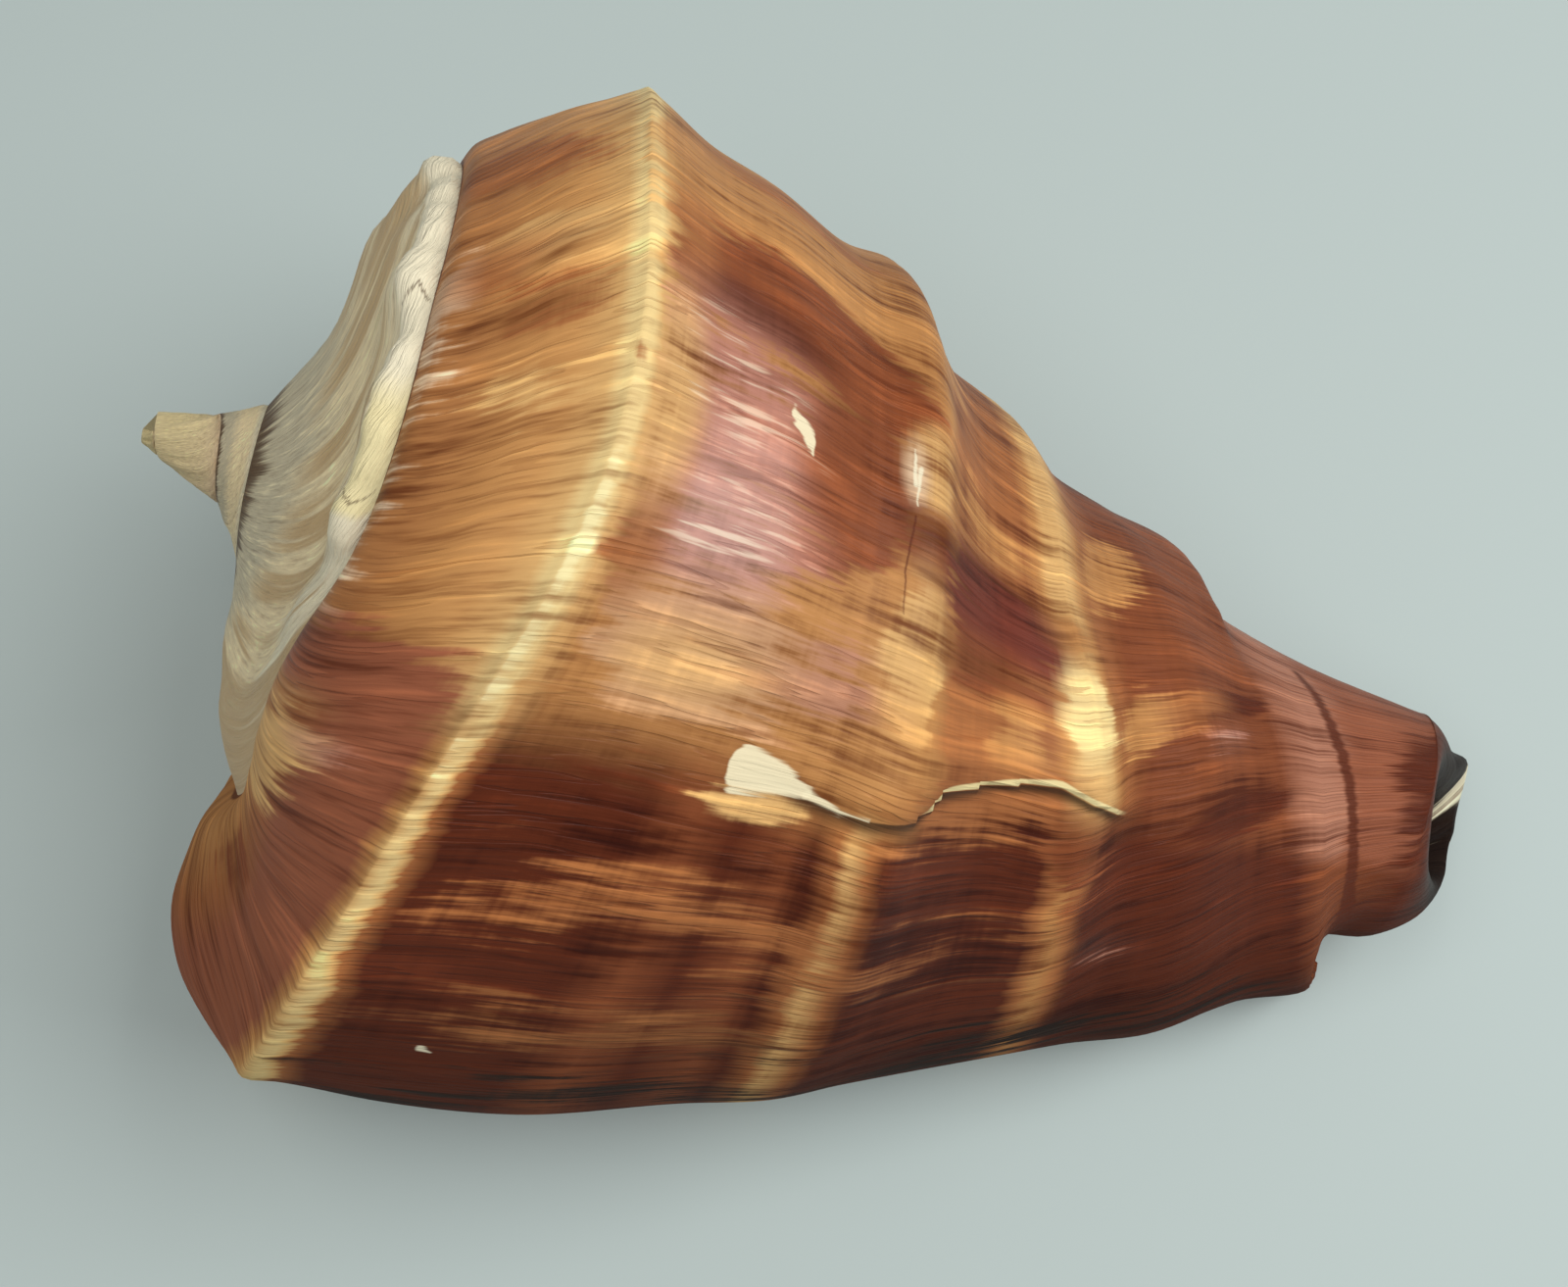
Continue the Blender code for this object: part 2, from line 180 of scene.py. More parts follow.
@dataclass(frozen=True)
class Growth:
    """The law that the wall grew by: where each spiral line runs, and the profile between them.

    Lengths are in millimetres, at turn 0 where they grow, and a point is (radius, depth). A swell is its
    height, its turn and its spread. A change is its size and the turns between which it comes or goes.

    Attributes:
        whorl_ratio: How much larger a turn makes everything.
        lip_turn: Where the last whorl ends, before its edge swings on to the table.
        twist_turns: How long before that the swing comes in.
        far: The turn and the spread of the far side, where each line moves by what keel_far, cord_2_far,
            cord_3_far or cord_4_far says.
        keel: The keel, and cord_2, cord_3 and cord_4 are the cords below it.
        keel_corners: Swells that move the keel down the axis.
        keel_dip: The swell by which it is drawn in.
        keel_drop: The change that takes it towards the spire by the lip.
        cord_2_dip: The swell that takes cord 2 towards the spire.
        cord_3_flare: The change that opens cord 3 out by the lip.
        cord_3_early: The change by which cord 3 still lay nearer to the spire.
        cord_4_lift: The change that takes cord 4 towards the spire.
        far_hump: The swell of the wall above the last cord, on the far side.
        hump_parts: The parts of the way down that wall between which the hump comes in.
        lobe: The turns between which the upper lip swells into its lobe.
        old_lobe: The change by which the lobe before it dies out.
        fold: The turn and spread of the fold before the lobe.
        filling: The turns between which the hollows between the cords fill out.
        canal_end: The depth of the canal's end.
        canal_bend: How far that end bends up, and over what depth.
        tip_lean: How far the tip leans the same way, as a change with depth.
        canal_root: The root of the canal's stub, and how far it leans to the lip's side.
        stem: How thick the stub starts, before the lip wraps over it, and how many turns that takes.
        canal_rim: The radius of the canal's rim, how far it leans each way, and how far it slopes.
        notch: The swell by which the rim is cut back.
        pit: How deep the pit in the canal's end is.
        groove: The groove above the stub: part of the way to its root, and how far out.
        bulge: The stub's bulge: parts of the way from root to rim, and how far out.
        seam_points: The seam that the last whorl keeps with the one before: (turn, radius, depth).
        ramp: From the seam to the keel: part of the way, how far out, then more by the lobe and the fold.
        walls: Between keel and cords: part of the way, how far out by the filling, and by the size.
        spire: From seam to seam on the older turns: part of the way, how far out when young and when worn,
            and how much of the shoulder and of the rim it gets.
        young: The turns between which the youngest form dies out.
        shoulder: The turn and spread of a swelling across the worn turn.
        joining: How many turns the older form takes to become the last whorl's, and that to be free of it.
        rim: How high the worn rim stands beside the seam.
        rim_turns: Where the rim rises, is full, starts to fade and ends.
        bead: How much its lumps vary.
        bead_turns: The spacings of the lumps.
        slants: How far the growth lines lead at each station, in turns.
        slant_reach: How many stations to either side smooth that out.
        spire_slant: The lead that each station adds on the older turns.
        spire_end: The turn from which that dies out.
    """

    whorl_ratio: float = 1.49
    lip_turn: float = 0.07
    twist_turns: float = 0.22
    far: Pair = (-0.5, 0.1)
    keel: Pair = (36.8, 28.7)
    keel_far: Pair = (0.9, 0.0)
    keel_corners: tuple[Triple, ...] = ((2.8, -0.30, 0.056), (-0.8, -0.17, 0.1))
    keel_dip: Triple = (1.0, -0.26, 0.07)
    keel_drop: Triple = (9.6, -0.28, -0.01)
    cord_2: Pair = (29.25, 53.3)
    cord_2_far: Pair = (1.9, -1.8)
    cord_2_dip: Triple = (1.0, -0.04, 0.05)
    cord_3: Pair = (21.7, 66.7)
    cord_3_far: Pair = (2.0, -1.5)
    cord_3_flare: Triple = (0.9, -0.08, 0.0)
    cord_3_early: Triple = (2.2, -0.33, -0.25)
    cord_4: Pair = (11.5, 89.1)
    cord_4_far: Pair = (1.6, -2.0)
    cord_4_lift: Triple = (2.0, -0.42, -0.12)
    far_hump: Triple = (2.4, -0.50, 0.06)
    hump_parts: Pair = (0.4, 0.8)
    lobe: Pair = (-0.10, 0.02)
    old_lobe: Triple = (0.6, -0.90, -0.70)
    fold: Pair = (-0.19, 0.05)
    filling: Pair = (-0.25, 0.0)
    canal_end: float = 95.0
    canal_bend: Pair = (2.5, 4.0)
    tip_lean: Triple = (0.7, 7.0, 13.0)
    canal_root: Quad = (8.9, 85.3, 0.3, 0.4)
    stem: Pair = (0.45, 0.4)
    canal_rim: Quad = (3.7, 1.8, 1.8, 0.6)
    notch: Triple = (7.2, -0.33, 0.115)
    pit: float = 8.0
    groove: Pair = (0.55, -0.3)
    bulge: tuple[Pair, ...] = ((0.35, 1.1), (0.75, 0.9))
    seam_points: tuple[Triple, ...] = (
        (-4.3, 0.5, 0.05),
        (-3.8, 1.1, 0.3),
        (-3.3, 1.5, 0.9),
        (-2.8, 1.75, 2.6),
        (-2.3, 2.9, 5.1),
        (-1.3, 5.1, 7.6),
        (-1.05, 7.5, 8.6),
        (-0.75, 17.0, 11.6),
        (-0.5, 22.6, 13.8),
        (-0.35, 23.9, 16.4),
        (-0.25, 24.2, 17.0),
        (-0.19, 21.7, 15.0),
        (-0.11, 20.4, 14.4),
        (-0.02, 19.7, 12.6),
        (0.1, 19.5, 12.2),
    )
    ramp: tuple[Quad, ...] = (
        (0.08, 0.9, 1.4, 0.4),
        (0.25, 1.0, 3.2, 1.0),
        (0.42, 0.9, 4.5, 1.1),
        (0.60, 0.7, 4.5, 0.9),
        (0.80, 0.3, 3.1, 0.4),
        (0.94, 0.1, 1.1, 0.0),
    )
    walls: tuple[tuple[Triple, ...], ...] = (
        ((0.06, 0.3, -0.1), (0.25, 2.0, -0.7), (0.50, 2.2, -0.4), (0.80, 1.5, -0.8)),
        ((0.25, 1.0, -1.0), (0.55, 1.6, -1.6), (0.85, 0.6, -0.6)),
        ((0.20, 1.4, -1.1), (0.45, 1.2, -0.2), (0.75, 1.0, -0.8)),
    )
    spire: tuple[tuple[float, float, float, float, float], ...] = (
        (0.30, 0.58, -0.5, 0.4, 0.0),
        (0.66, 0.98, -0.9, 2.7, 0.0),
        (0.90, 0.1, 0.0, 0.3, 1.0),
    )
    young: Pair = (-2.2, -1.7)
    shoulder: Pair = (-1.50, 0.11)
    joining: Pair = (0.3, 0.25)
    rim: float = 1.2
    rim_turns: Quad = (-1.58, -1.42, -1.26, -1.17)
    bead: float = 0.3
    bead_turns: Pair = (0.085, 0.05)
    slants: tuple[Pair, ...] = (
        (0.0, 0.0),
        (2.0, 0.0),
        (5.5, 0.028),
        (8.0, 0.026),
        (10.0, 0.036),
        (12.0, 0.024),
        (14.0, 0.028),
        (16.5, 0.020),
        (19.6, 0.100),
        (20.4, 0.100),
        (23.0, 0.170),
        (26.0, 0.200),
    )
    slant_reach: float = 1.6
    spire_slant: float = 0.045
    spire_end: float = -1.2

    @property
    def body_turn(self) -> float:
        """Where the last whorl starts."""
        return self.lip_turn - 1.0

    def size(self, turn: Array | float) -> Array:
        """How large the shell was at a turn, next to turn 0."""
        return self.whorl_ratio ** np.asarray(turn, float)

    def seam(self, turn: Array) -> Array:
        """The seam that some turns keep with the one before.

        Args:
            turn: The turns.

        Returns:
            Its (radius, depth) at each of them.
        """
        knots, radius, depth = np.array(self.seam_points).T
        held = np.clip(turn, knots[0], knots[-1])
        return spline(knots, pair(radius, depth), held)

    def line(self, size: Pair, far: Pair, turn: Array) -> Array:
        """A spiral line that keeps its place on the growing whorl, moved a little on the far side."""
        away = swell(turn, *self.far)[:, None]
        return np.array(size) * self.size(turn)[:, None] + np.array(far) * away

    def keel_line(self, turn: Array) -> Array:
        """The keel, which moves towards the spire in the last quarter turn."""
        down = sum(hump(turn, *corner) for corner in self.keel_corners) - climb(turn, *self.keel_drop)
        return self.line(self.keel, self.keel_far, turn) + pair(-hump(turn, *self.keel_dip), down)

    def cord_2_line(self, turn: Array) -> Array:
        """The cord below the keel."""
        return self.line(self.cord_2, self.cord_2_far, turn) - pair(0.0, hump(turn, *self.cord_2_dip))

    def cord_3_line(self, turn: Array) -> Array:
        """The cord at the foot of the last whorl's broad part."""
        moved = pair(climb(turn, *self.cord_3_flare), -fall(turn, *self.cord_3_early))
        return self.line(self.cord_3, self.cord_3_far, turn) + moved

    def cord_4_line(self, turn: Array) -> Array:
        """The cord round the canal, which moves towards the spire before the lip."""
        return self.line(self.cord_4, self.cord_4_far, turn) - pair(0.0, climb(turn, *self.cord_4_lift))

    def canal_rings(self, turn: Array) -> list[Array]:
        """The canal's stub: a groove under the last cord, a bulge, a rim cut back, and the pit.

        Args:
            turn: The turns.

        Returns:
            The (radius, depth) of six stations, each for every turn.
        """
        side, front = np.cos(CIRCLE * turn), -np.sin(CIRCLE * turn)
        start, wrapping = self.stem
        wrap = start + climb(turn, 1.0 - start, self.body_turn, self.body_turn + wrapping)
        radius, depth, inwards, upwards = self.canal_root
        root = pair((radius - inwards * side) * wrap, depth - upwards * side)
        radius, away, aside, slope = self.canal_rim
        depth = self.canal_end - hump(turn, *self.notch) - slope * (1.0 + side)
        rim = pair(radius - away * side + aside * front, depth)
        bulge = [between(root, rim, part, out * wrap) for part, out in self.bulge]
        pit = pair(0.0 * side, self.canal_end - self.pit)
        return [between(self.cord_4_line(turn), root, *self.groove), root, *bulge, rim, pit]

    def column(self, turn: Array) -> Array:
        """The whorl's stations at some turns, before the last whorl is drawn in to meet the older one.

        Args:
            turn: The turns, one-dimensional.

        Returns:
            An array of turns by 27 stations by (radius, depth).
        """
        size = self.size(turn)
        lobe = ease(turn, *self.lobe) + fall(turn, *self.old_lobe)
        fold, full = swell(turn, *self.fold), ease(turn, *self.filling)
        far = hump(turn, *self.far_hump)
        first, corner = self.seam(turn), self.keel_line(turn)
        points = [first]
        for part, plain, at_lobe, at_fold in self.ramp:
            points.append(between(first, corner, part, plain + at_lobe * lobe + at_fold * fold))
        lines = (corner, self.cord_2_line(turn), self.cord_3_line(turn), self.cord_4_line(turn))
        for start, end, wall in zip(lines, lines[1:], self.walls):
            points.append(start)
            for part, gained, grown in wall:
                humped = ease(part, *self.hump_parts) if wall is self.walls[-1] else 0.0
                points.append(between(start, end, part, gained * full + grown * size + far * humped))
        points.append(lines[-1])
        return np.stack(points + self.canal_rings(turn), axis=1)

    def last_column(self, turn: Array) -> Array:
        """The last whorl's stations, drawn in where it starts, to pass through the seam at the lip.

        Args:
            turn: The turns.

        Returns:
            An array like column's.
        """
        points = self.column(turn)
        start = self.column(np.array([self.body_turn]))[0, Station.NEXT_SEAM]
        gap = self.seam(np.array([self.lip_turn]))[0] - start
        steps = np.abs(np.arange(points.shape[1]) - Station.NEXT_SEAM) / Station.NEXT_SEAM
        near = np.maximum(1.0 - steps, 0.0)[None, :, None]
        fade = 1.0 - ease(turn, self.body_turn, self.body_turn + self.joining[1])
        return points + gap * near * fade[:, None, None]

    def spire_column(self, turn: Array) -> Array:
        """The older turns' stations, from a turn's own seam to the one that the next turn keeps with it.

        Args:
            turn: The turns.

        Returns:
            An array of turns by five stations by (radius, depth).
        """
        inner, outer = self.seam(turn), self.seam(turn + 1.0)
        young = 1.0 - ease(turn, *self.young)
        beads = self.bead * sum(np.cos(CIRCLE * turn / pitch) for pitch in self.bead_turns)
        rim = (self.rim + beads) * window(turn, *self.rim_turns)
        points = [inner]
        for part, fresh, worn, broad, high in self.spire:
            out = fresh * young + worn + high * rim + broad * swell(turn, *self.shoulder)
            points.append(between(inner, outer, part, out))
        points.append(outer)
        joined = ease(turn, self.body_turn - self.joining[0], self.body_turn)[:, None, None]
        blend = np.stack(points, axis=1) * (1.0 - joined)
        blend += self.last_column(turn)[:, : Station.NEXT_SEAM + 1] * joined
        blend[:, 0], blend[:, Station.NEXT_SEAM] = inner, outer
        return blend

    def growth_line(self, turn: Array, station: Array) -> Array:
        """The growth lines that some places lie on.

        Args:
            turn: The places' turns.
            station: Their stations.

        Returns:
            The turn at which each line leaves the seam.
        """
        places, leads = np.array(self.slants).T
        nearby = (station + offset for offset in np.linspace(-self.slant_reach, self.slant_reach, 9))
        lead = np.mean([np.interp(place, places, leads) for place in nearby], axis=0)
        return turn + lead + station * fall(turn, self.spire_slant, self.spire_end, self.body_turn)

    def place(self, turn: Array, point: Array) -> Array:
        """Where some points of the profile are.

        Args:
            turn: Their turns.
            point: Their (radius, depth), on the last axis.

        Returns:
            The coil frame's X, Y, Z, on the last axis.
        """
        angle = CIRCLE * np.asarray(turn, float)
        radius, depth = point[..., 0], point[..., 1]
        bend, length = self.canal_bend
        up = climb(depth, bend, self.canal_end - length, self.canal_end) + fall(depth, *self.tip_lean)
        return np.stack((depth, up - radius * np.cos(angle), -radius * np.sin(angle)), axis=-1)


@dataclass(frozen=True)
class Relief:
    """What stands out from the growth law's smooth form. Heights are in millimetres.

    Attributes:
        seed: The seed of the growth rests' heights.
        rests: The spacing of the rests in growth, in turns, and how deep they are.
        rest_turns: The first turn that has rests, and for how many turns they go on.
        rest_stations: Where along the profile they appear, are full, fade and end.
        ledge: The (station, turn) places along the edge where a broken lip was grown over.
        rise: How high the ledge stands.
        ledge_stations: Where along the profile it appears, is full, fades and ends.
        ledge_slope: How long before the edge it starts to rise and is full, in turns.
        enamel: The turns between which the old seam is coated with enamel lumps, and their height.
        enamel_ends: How long the coat takes to start and to end, in turns.
        enamel_stations: Where along the profile it appears, is full, fades and ends.
        lump: The lumps' middle height, as a part of the full one.
        lump_waves: The waves that make them: (part of the height, radians in a turn, radians at turn 0).
    """

    seed: int = 4
    rests: tuple[Pair, ...] = ((0.012, 0.10), (0.035, 0.20))
    rest_turns: Pair = (-5.0, 6.0)
    rest_stations: Quad = (0.0, 1.0, 20.0, 23.0)
    ledge: tuple[Pair, ...] = (
        (9.6, -0.222),
        (10.4, -0.2225),
        (10.9, -0.2125),
        (11.6, -0.2110),
        (12.35, -0.2145),
        (12.8, -0.2225),
        (13.65, -0.2260),
        (14.9, -0.2325),
        (16.1, -0.2280),
        (16.7, -0.2235),
        (17.6, -0.2200),
    )
    rise: float = 0.55
    ledge_stations: Quad = (10.2, 12.4, 16.2, 17.6)
    ledge_slope: Pair = (0.035, 0.004)
    enamel: Triple = (-1.47, -1.235, 0.7)
    enamel_ends: Pair = (0.02, 0.01)
    enamel_stations: Quad = (3.0, 3.35, 3.8, 4.0)
    lump: float = 0.75
    lump_waves: tuple[Triple, ...] = ((0.25, 190.0, 0.0), (0.15, 415.0, 1.0))

    def height(self, turn: Array, station: Array, line: Array) -> Array:
        """How far some places stand out.

        Args:
            turn: Their turns.
            station: Their stations.
            line: The growth lines that they lie on.

        Returns:
            Their heights.
        """
        rests = sum(self.rest(line, *rest, self.seed + i) for i, rest in enumerate(self.rests))
        rests = rests * window(station, *self.rest_stations)
        return rests + self.step(turn, station) + self.lumps(turn, station)

    def rest(self, line: Array, spacing: float, depth: float, seed: int) -> Array:
        """Hollows along the coil, smooth and without an order.

        Args:
            line: The growth lines of the places to read.
            spacing: How far apart the hollows are, in turns.
            depth: How deep they can be.
            seed: The seed of their depths.

        Returns:
            The heights there, from 0 down.
        """
        first, span = self.rest_turns
        heights = np.random.default_rng(seed).random(round(span / spacing)) - 1.0
        place = (line - first) / spacing
        left = np.floor(place).astype(int)
        part = ease(place - left, 0.0, 1.0)
        return depth * (heights[left] * (1.0 - part) + heights[left + 1] * part)

    def step(self, turn: Array, station: Array) -> Array:
        """The ledge: the old lip swells towards its broken edge, and the new wall starts below it.

        Args:
            turn: The places' turns.
            station: Their stations.

        Returns:
            Their heights.
        """
        edge = np.interp(station, *np.array(self.ledge).T)
        start, full = self.ledge_slope
        along = window(station, *self.ledge_stations)
        return self.rise * along * ease(turn, edge - start, edge - full) * (turn < edge)

    def lumps(self, turn: Array, station: Array) -> Array:
        """The enamel that coats the old seam in lumps.

        Args:
            turn: The places' turns.
            station: Their stations.

        Returns:
            Their heights.
        """
        start, end, height = self.enamel
        coming, going = self.enamel_ends
        coated = window(turn, start, start + coming, end - going, end)
        waves = sum(part * np.sin(turn * pace + lead) for part, pace, lead in self.lump_waves)
        return height * coated * window(station, *self.enamel_stations) * (self.lump + waves)


@dataclass
class Wall:
    """The shell's wall: the fine grids that the growth law shapes. Lengths are in millimetres at turn 0.

    Attributes:
        growth: The growth law.
        steps: Columns in a turn.
        spire_turns: How many turns before the last whorl are made.
        row_step: The distance between rows along the profile.
        hollow_turns: How far back the hollow goes.
        hollow_rings: How many rings it has, and hollow_crowding is how they crowd towards the mouth.
        wall: The wall's thickness.
        keel_wall: How much thicker it is at the keel, and how many stations that spreads.
        seam_wall: How much more it thickens at the seam, and over how many stations.
        canal_wall: How much it thins in the canal, and over how many stations.
        callus: The thickness of the glaze on the inner wall, the part of it that is left at the mouth's
            edge, and how many turns it takes to be full.
        pleats: The stations and heights of the pleats deep on the inner wall.
        pleat_spread: How many stations a pleat spreads.
        seam_cover: How far below the seam the hollow's inner wall starts, and over how many stations.
        inner_reach: Over how many stations above the keel the inner wall moves up to the seam.
        wear: How deep the shell is worn where it rests.
        table_down: The way down, in the coil's frame.
        table_depth: How far below the coil's frame the table is.
        steepest: The highest sine of the angle by which the lip's edge swings to the table.
        lip_sag: How far the edge above the keel hangs back, in turns.
        canal_stations: Over how many stations the swing dies out along the canal.
        table_turn: The spacing of the profiles that are worked out and read between.
        rim_parts: Where the rings across the lip's rim are, as parts of the way in.
        hollow_end: The (radius, depth) where the hollow ends in the canal.
        hollow_floor: How far before that end it starts to narrow.
        relief: What stands out from the wall.
    """

    growth: Growth
    steps: int = 264
    spire_turns: float = 10.0 / 3.0
    row_step: float = 0.62
    hollow_turns: float = 0.86
    hollow_rings: int = 44
    hollow_crowding: float = 1.4
    wall: float = 2.0
    keel_wall: Pair = (0.5, 0.6)
    seam_wall: Pair = (0.9, 2.5)
    canal_wall: Pair = (0.35, 2.0)
    callus: Triple = (0.9, 0.2, 0.035)
    pleats: tuple[Pair, ...] = ((19.0, 0.9), (17.2, 1.2), (15.4, 1.2))
    pleat_spread: float = 0.45
    seam_cover: Pair = (0.6, 1.5)
    inner_reach: float = 3.0
    wear: float = 0.35
    table_down: Triple = (0.248, -0.381, -0.891)
    table_depth: float = 30.9
    steepest: float = 0.95
    lip_sag: float = 0.02
    canal_stations: float = 4.0
    table_turn: float = 1.0 / 528.0
    rim_parts: tuple[float, ...] = (0.0, 0.12, 0.35, 0.65, 0.88)
    hollow_end: Pair = (6.6, 82.0)
    hollow_floor: float = 3.0
    relief: Relief = Relief()

    def __post_init__(self) -> None:
        """Works out the stations of the rows, the distances between them, and the lip's swing."""
        reference = self.growth.column(np.zeros(1))[0]
        lengths = np.hypot(*np.diff(reference, axis=0).T)
        self.knots = np.concatenate(([0.0], np.cumsum(lengths)))
        counts = np.maximum(np.round(lengths / self.row_step), 1).astype(int)
        stations = [np.arange(count) / count + i for i, count in enumerate(counts)]
        self.rows = np.concatenate(stations + [[float(Station.CANAL_END)]])
        self.seam_row = int(counts[: Station.NEXT_SEAM].sum())
        self.distances = np.interp(self.rows, np.arange(len(self.knots)), self.knots)
        self.swing = self.lip_swing()

    def lip_swing(self) -> Array:
        """Swings the lip's edge on to the table, and back to the seam and the canal at its ends.

        Returns:
            How many turns past the lip's own turn each row of its edge lies.
        """
        law = self.growth
        edge = spline(self.knots, law.column(np.array([law.lip_turn])), self.distances)[0]
        along, across, up = self.table_down
        lean = math.atan2(-across, -up)
        reach = np.maximum(edge[:, 0], 1.0) * math.hypot(across, up)
        share = np.clip((self.table_depth - along * edge[:, 1]) / reach, -1.0, self.steepest)
        swing = (np.arcsin(share) - lean) / CIRCLE - law.lip_turn
        above = np.clip(self.rows / Station.KEEL, 0.0, 1.0)
        at_keel = np.interp(Station.KEEL, self.rows, swing)
        at_cord = np.interp(Station.CORD_4, self.rows, swing)
        swung_back = at_keel * above**2 - self.lip_sag * np.sin(math.pi * above)
        canal = np.clip((self.rows - Station.CORD_4) / self.canal_stations, 0.0, 1.0)
        swing = np.where(self.rows < Station.KEEL, swung_back, swing)
        return np.where(canal > 0.0, at_cord * (1.0 - canal), swing)

    def swung(self, turns: Array) -> tuple[Array, Array]:
        """Swings columns near the lip with its edge.

        Args:
            turns: The columns' own turns.

        Returns:
            The turn of every place, as columns by rows, and evenly spaced turns that span them.
        """
        lip = self.growth.lip_turn
        near = ease(turns, lip - self.growth.twist_turns, lip)
        at = turns[:, None] + self.swing * near[:, None]
        return at, np.arange(at.min(), at.max() + 2.0 * self.table_turn, self.table_turn)

    def length(self, station: Array) -> Array:
        """How far some places are along the profile, and on round the mouth.

        Args:
            station: Their stations, or 52 less the station for the mouth's inner wall.

        Returns:
            Their distances from the seam.
        """
        back = 2.0 * self.knots[-1] - self.knots[-2::-1]
        knots = np.concatenate((self.knots, back))
        return np.interp(station, np.arange(len(knots)), knots)

    def stand_out(self, turns: Array, rows: Array) -> Array:
        """How far the relief stands out at each column and row, with room for two coordinates."""
        turn, station = np.broadcast_arrays(turns[:, None], rows)
        return self.relief.height(turn, station, self.growth.growth_line(turn, station))[..., None]

    def last_whorl(self) -> tuple[Array, Array]:
        """The last whorl's outside, swung with the lip near its edge.

        Returns:
            The places, as columns by rows by (X, Y, Z), and the turn that each column's growth line has.
        """
        law = self.growth
        turns = np.linspace(law.body_turn, law.lip_turn, self.steps + 1)
        at, table = self.swung(turns)
        shapes = spline(self.knots, law.last_column(table), self.distances)
        shapes += outward(shapes) * self.stand_out(table, self.rows)
        return law.place(at, self.read(table, shapes, at)), turns

    def older_turns(self) -> tuple[Array, Array]:
        """The older turns' outside, as far as it shows.

        Returns:
            Its places and its columns' turns, in the form that last_whorl gives them.
        """
        law = self.growth
        count = round(self.spire_turns * self.steps)
        turns = law.body_turn - np.arange(count, -1, -1) / self.steps
        knots = self.knots[: Station.NEXT_SEAM + 1]
        shapes = spline(knots, law.spire_column(turns), self.distances[: self.seam_row + 1])
        raised = outward(shapes) * self.stand_out(turns, self.rows[: self.seam_row + 1])
        raised[:, 0] = raised[:, -1] = 0.0
        return law.place(turns[:, None], shapes + raised), turns

    def hollow(self, lip: Array, start: Array) -> tuple[Array, Array, Array]:
        """The inside, from the edge of the mouth back up the coil.

        Args:
            lip: The last whorl's last column of places.
            start: Its first column, which the mouth's other side is made of.

        Returns:
            The places, as rings by points by (X, Y, Z), each ring's turn, and each point's station round
            the mouth: the lip's own station, or 52 less the inner wall's.
        """
        law = self.growth
        inner_side = slice(-2, self.seam_row - 1, -1)
        loop = np.concatenate((lip, start[inner_side], lip[:1]))
        round_trip = 2.0 * Station.CANAL_END
        round_mouth = np.concatenate((self.rows, round_trip - self.rows[inner_side], [round_trip]))
        back = np.linspace(0.0, 1.0, self.hollow_rings) ** self.hollow_crowding
        turns = law.lip_turn - self.hollow_turns * back
        at, lining = self.lining(turns)
        lining, glaze = self.drawn_in(lining, turns), self.drawn_in(self.glaze(turns), turns)
        outer, inner = law.place(at, lining), law.place(turns[:, None], glaze)
        inside = np.concatenate((outer, inner[:, inner_side], outer[:, :1]), axis=1)
        rim = [loop + (inside[0] - loop) * part for part in self.rim_parts]
        rim_turns = np.full(len(rim), law.lip_turn)
        return np.concatenate((rim, inside)), np.concatenate((rim_turns, turns)), round_mouth

    def lining(self, turns: Array) -> tuple[Array, Array]:
        """The inside of the outer wall.

        Args:
            turns: The rings' turns.

        Returns:
            The turn of each of its points, and their (radius, depth).
        """
        law, rows = self.growth, self.rows
        at, table = self.swung(turns)
        thick = self.wall * (1.0 + hump(rows, self.keel_wall[0], Station.KEEL, self.keel_wall[1]))
        thick = thick * (1.0 + fall(rows, self.seam_wall[0], 0.0, self.seam_wall[1]))
        thinner, stations = self.canal_wall
        thick = thick * (1.0 - climb(rows, thinner, Station.CORD_4, Station.CORD_4 + stations))
        shapes = spline(self.knots, law.column(table), self.distances)
        shapes -= outward(shapes) * (thick * law.size(table)[:, None])[..., None]
        return at, self.read(table, shapes, at)

    def glaze(self, turns: Array) -> Array:
        """The hollow's glazed inner wall, which lies over the turn before.

        Args:
            turns: The rings' turns.

        Returns:
            Its (radius, depth), as rings by rows.
        """
        law = self.growth
        full, at_edge, fading = self.callus
        shown = ease(-turns, -law.lip_turn, fading - law.lip_turn)[:, None]
        pleats = sum(hump(self.rows, height, station, self.pleat_spread) for station, height in self.pleats)
        thick = (full * (at_edge + (1.0 - at_edge) * shown) + pleats * shown) * law.size(turns)[:, None]
        cover, stations = self.seam_cover
        below_seam = 1.0 - ease(self.rows, Station.NEXT_SEAM, Station.NEXT_SEAM + stations)
        thick = thick * (1.0 - below_seam) - cover * below_seam
        points = law.last_column(turns - 1.0)
        gap = law.seam(turns) - points[:, Station.NEXT_SEAM]
        near = np.clip((Station.KEEL - np.arange(points.shape[1])) / self.inner_reach, 0.0, 1.0)
        shapes = spline(self.knots, points + gap[:, None] * near[:, None], self.distances)
        return shapes + outward(shapes) * thick[..., None]

    def drawn_in(self, shapes: Array, turns: Array) -> Array:
        """Draws one wall of the hollow in to the point where the hollow ends in the canal.

        Args:
            shapes: The wall's (radius, depth), as rings by rows.
            turns: The rings' turns.

        Returns:
            The same, drawn in.
        """
        ends = np.array(self.hollow_end) * pair(np.ones(len(turns)), self.growth.size(turns))
        near = (self.rows > Station.CORD_3 + 1) & (self.rows < Station.CORD_4 + 2)
        shapes = shapes.copy()
        for shape, end in zip(shapes, ends):
            start = np.interp(end[1] - self.hollow_floor, shape[near, 1], self.rows[near])
            part = np.clip((self.rows - start) / (Station.CANAL_END - start), 0.0, 1.0)[:, None]
            held = [np.interp(start, self.rows, shape[:, axis]) for axis in (0, 1)]
            shape[:] = np.where(part > 0.0, held + (end - held) * part, shape)
        return shapes

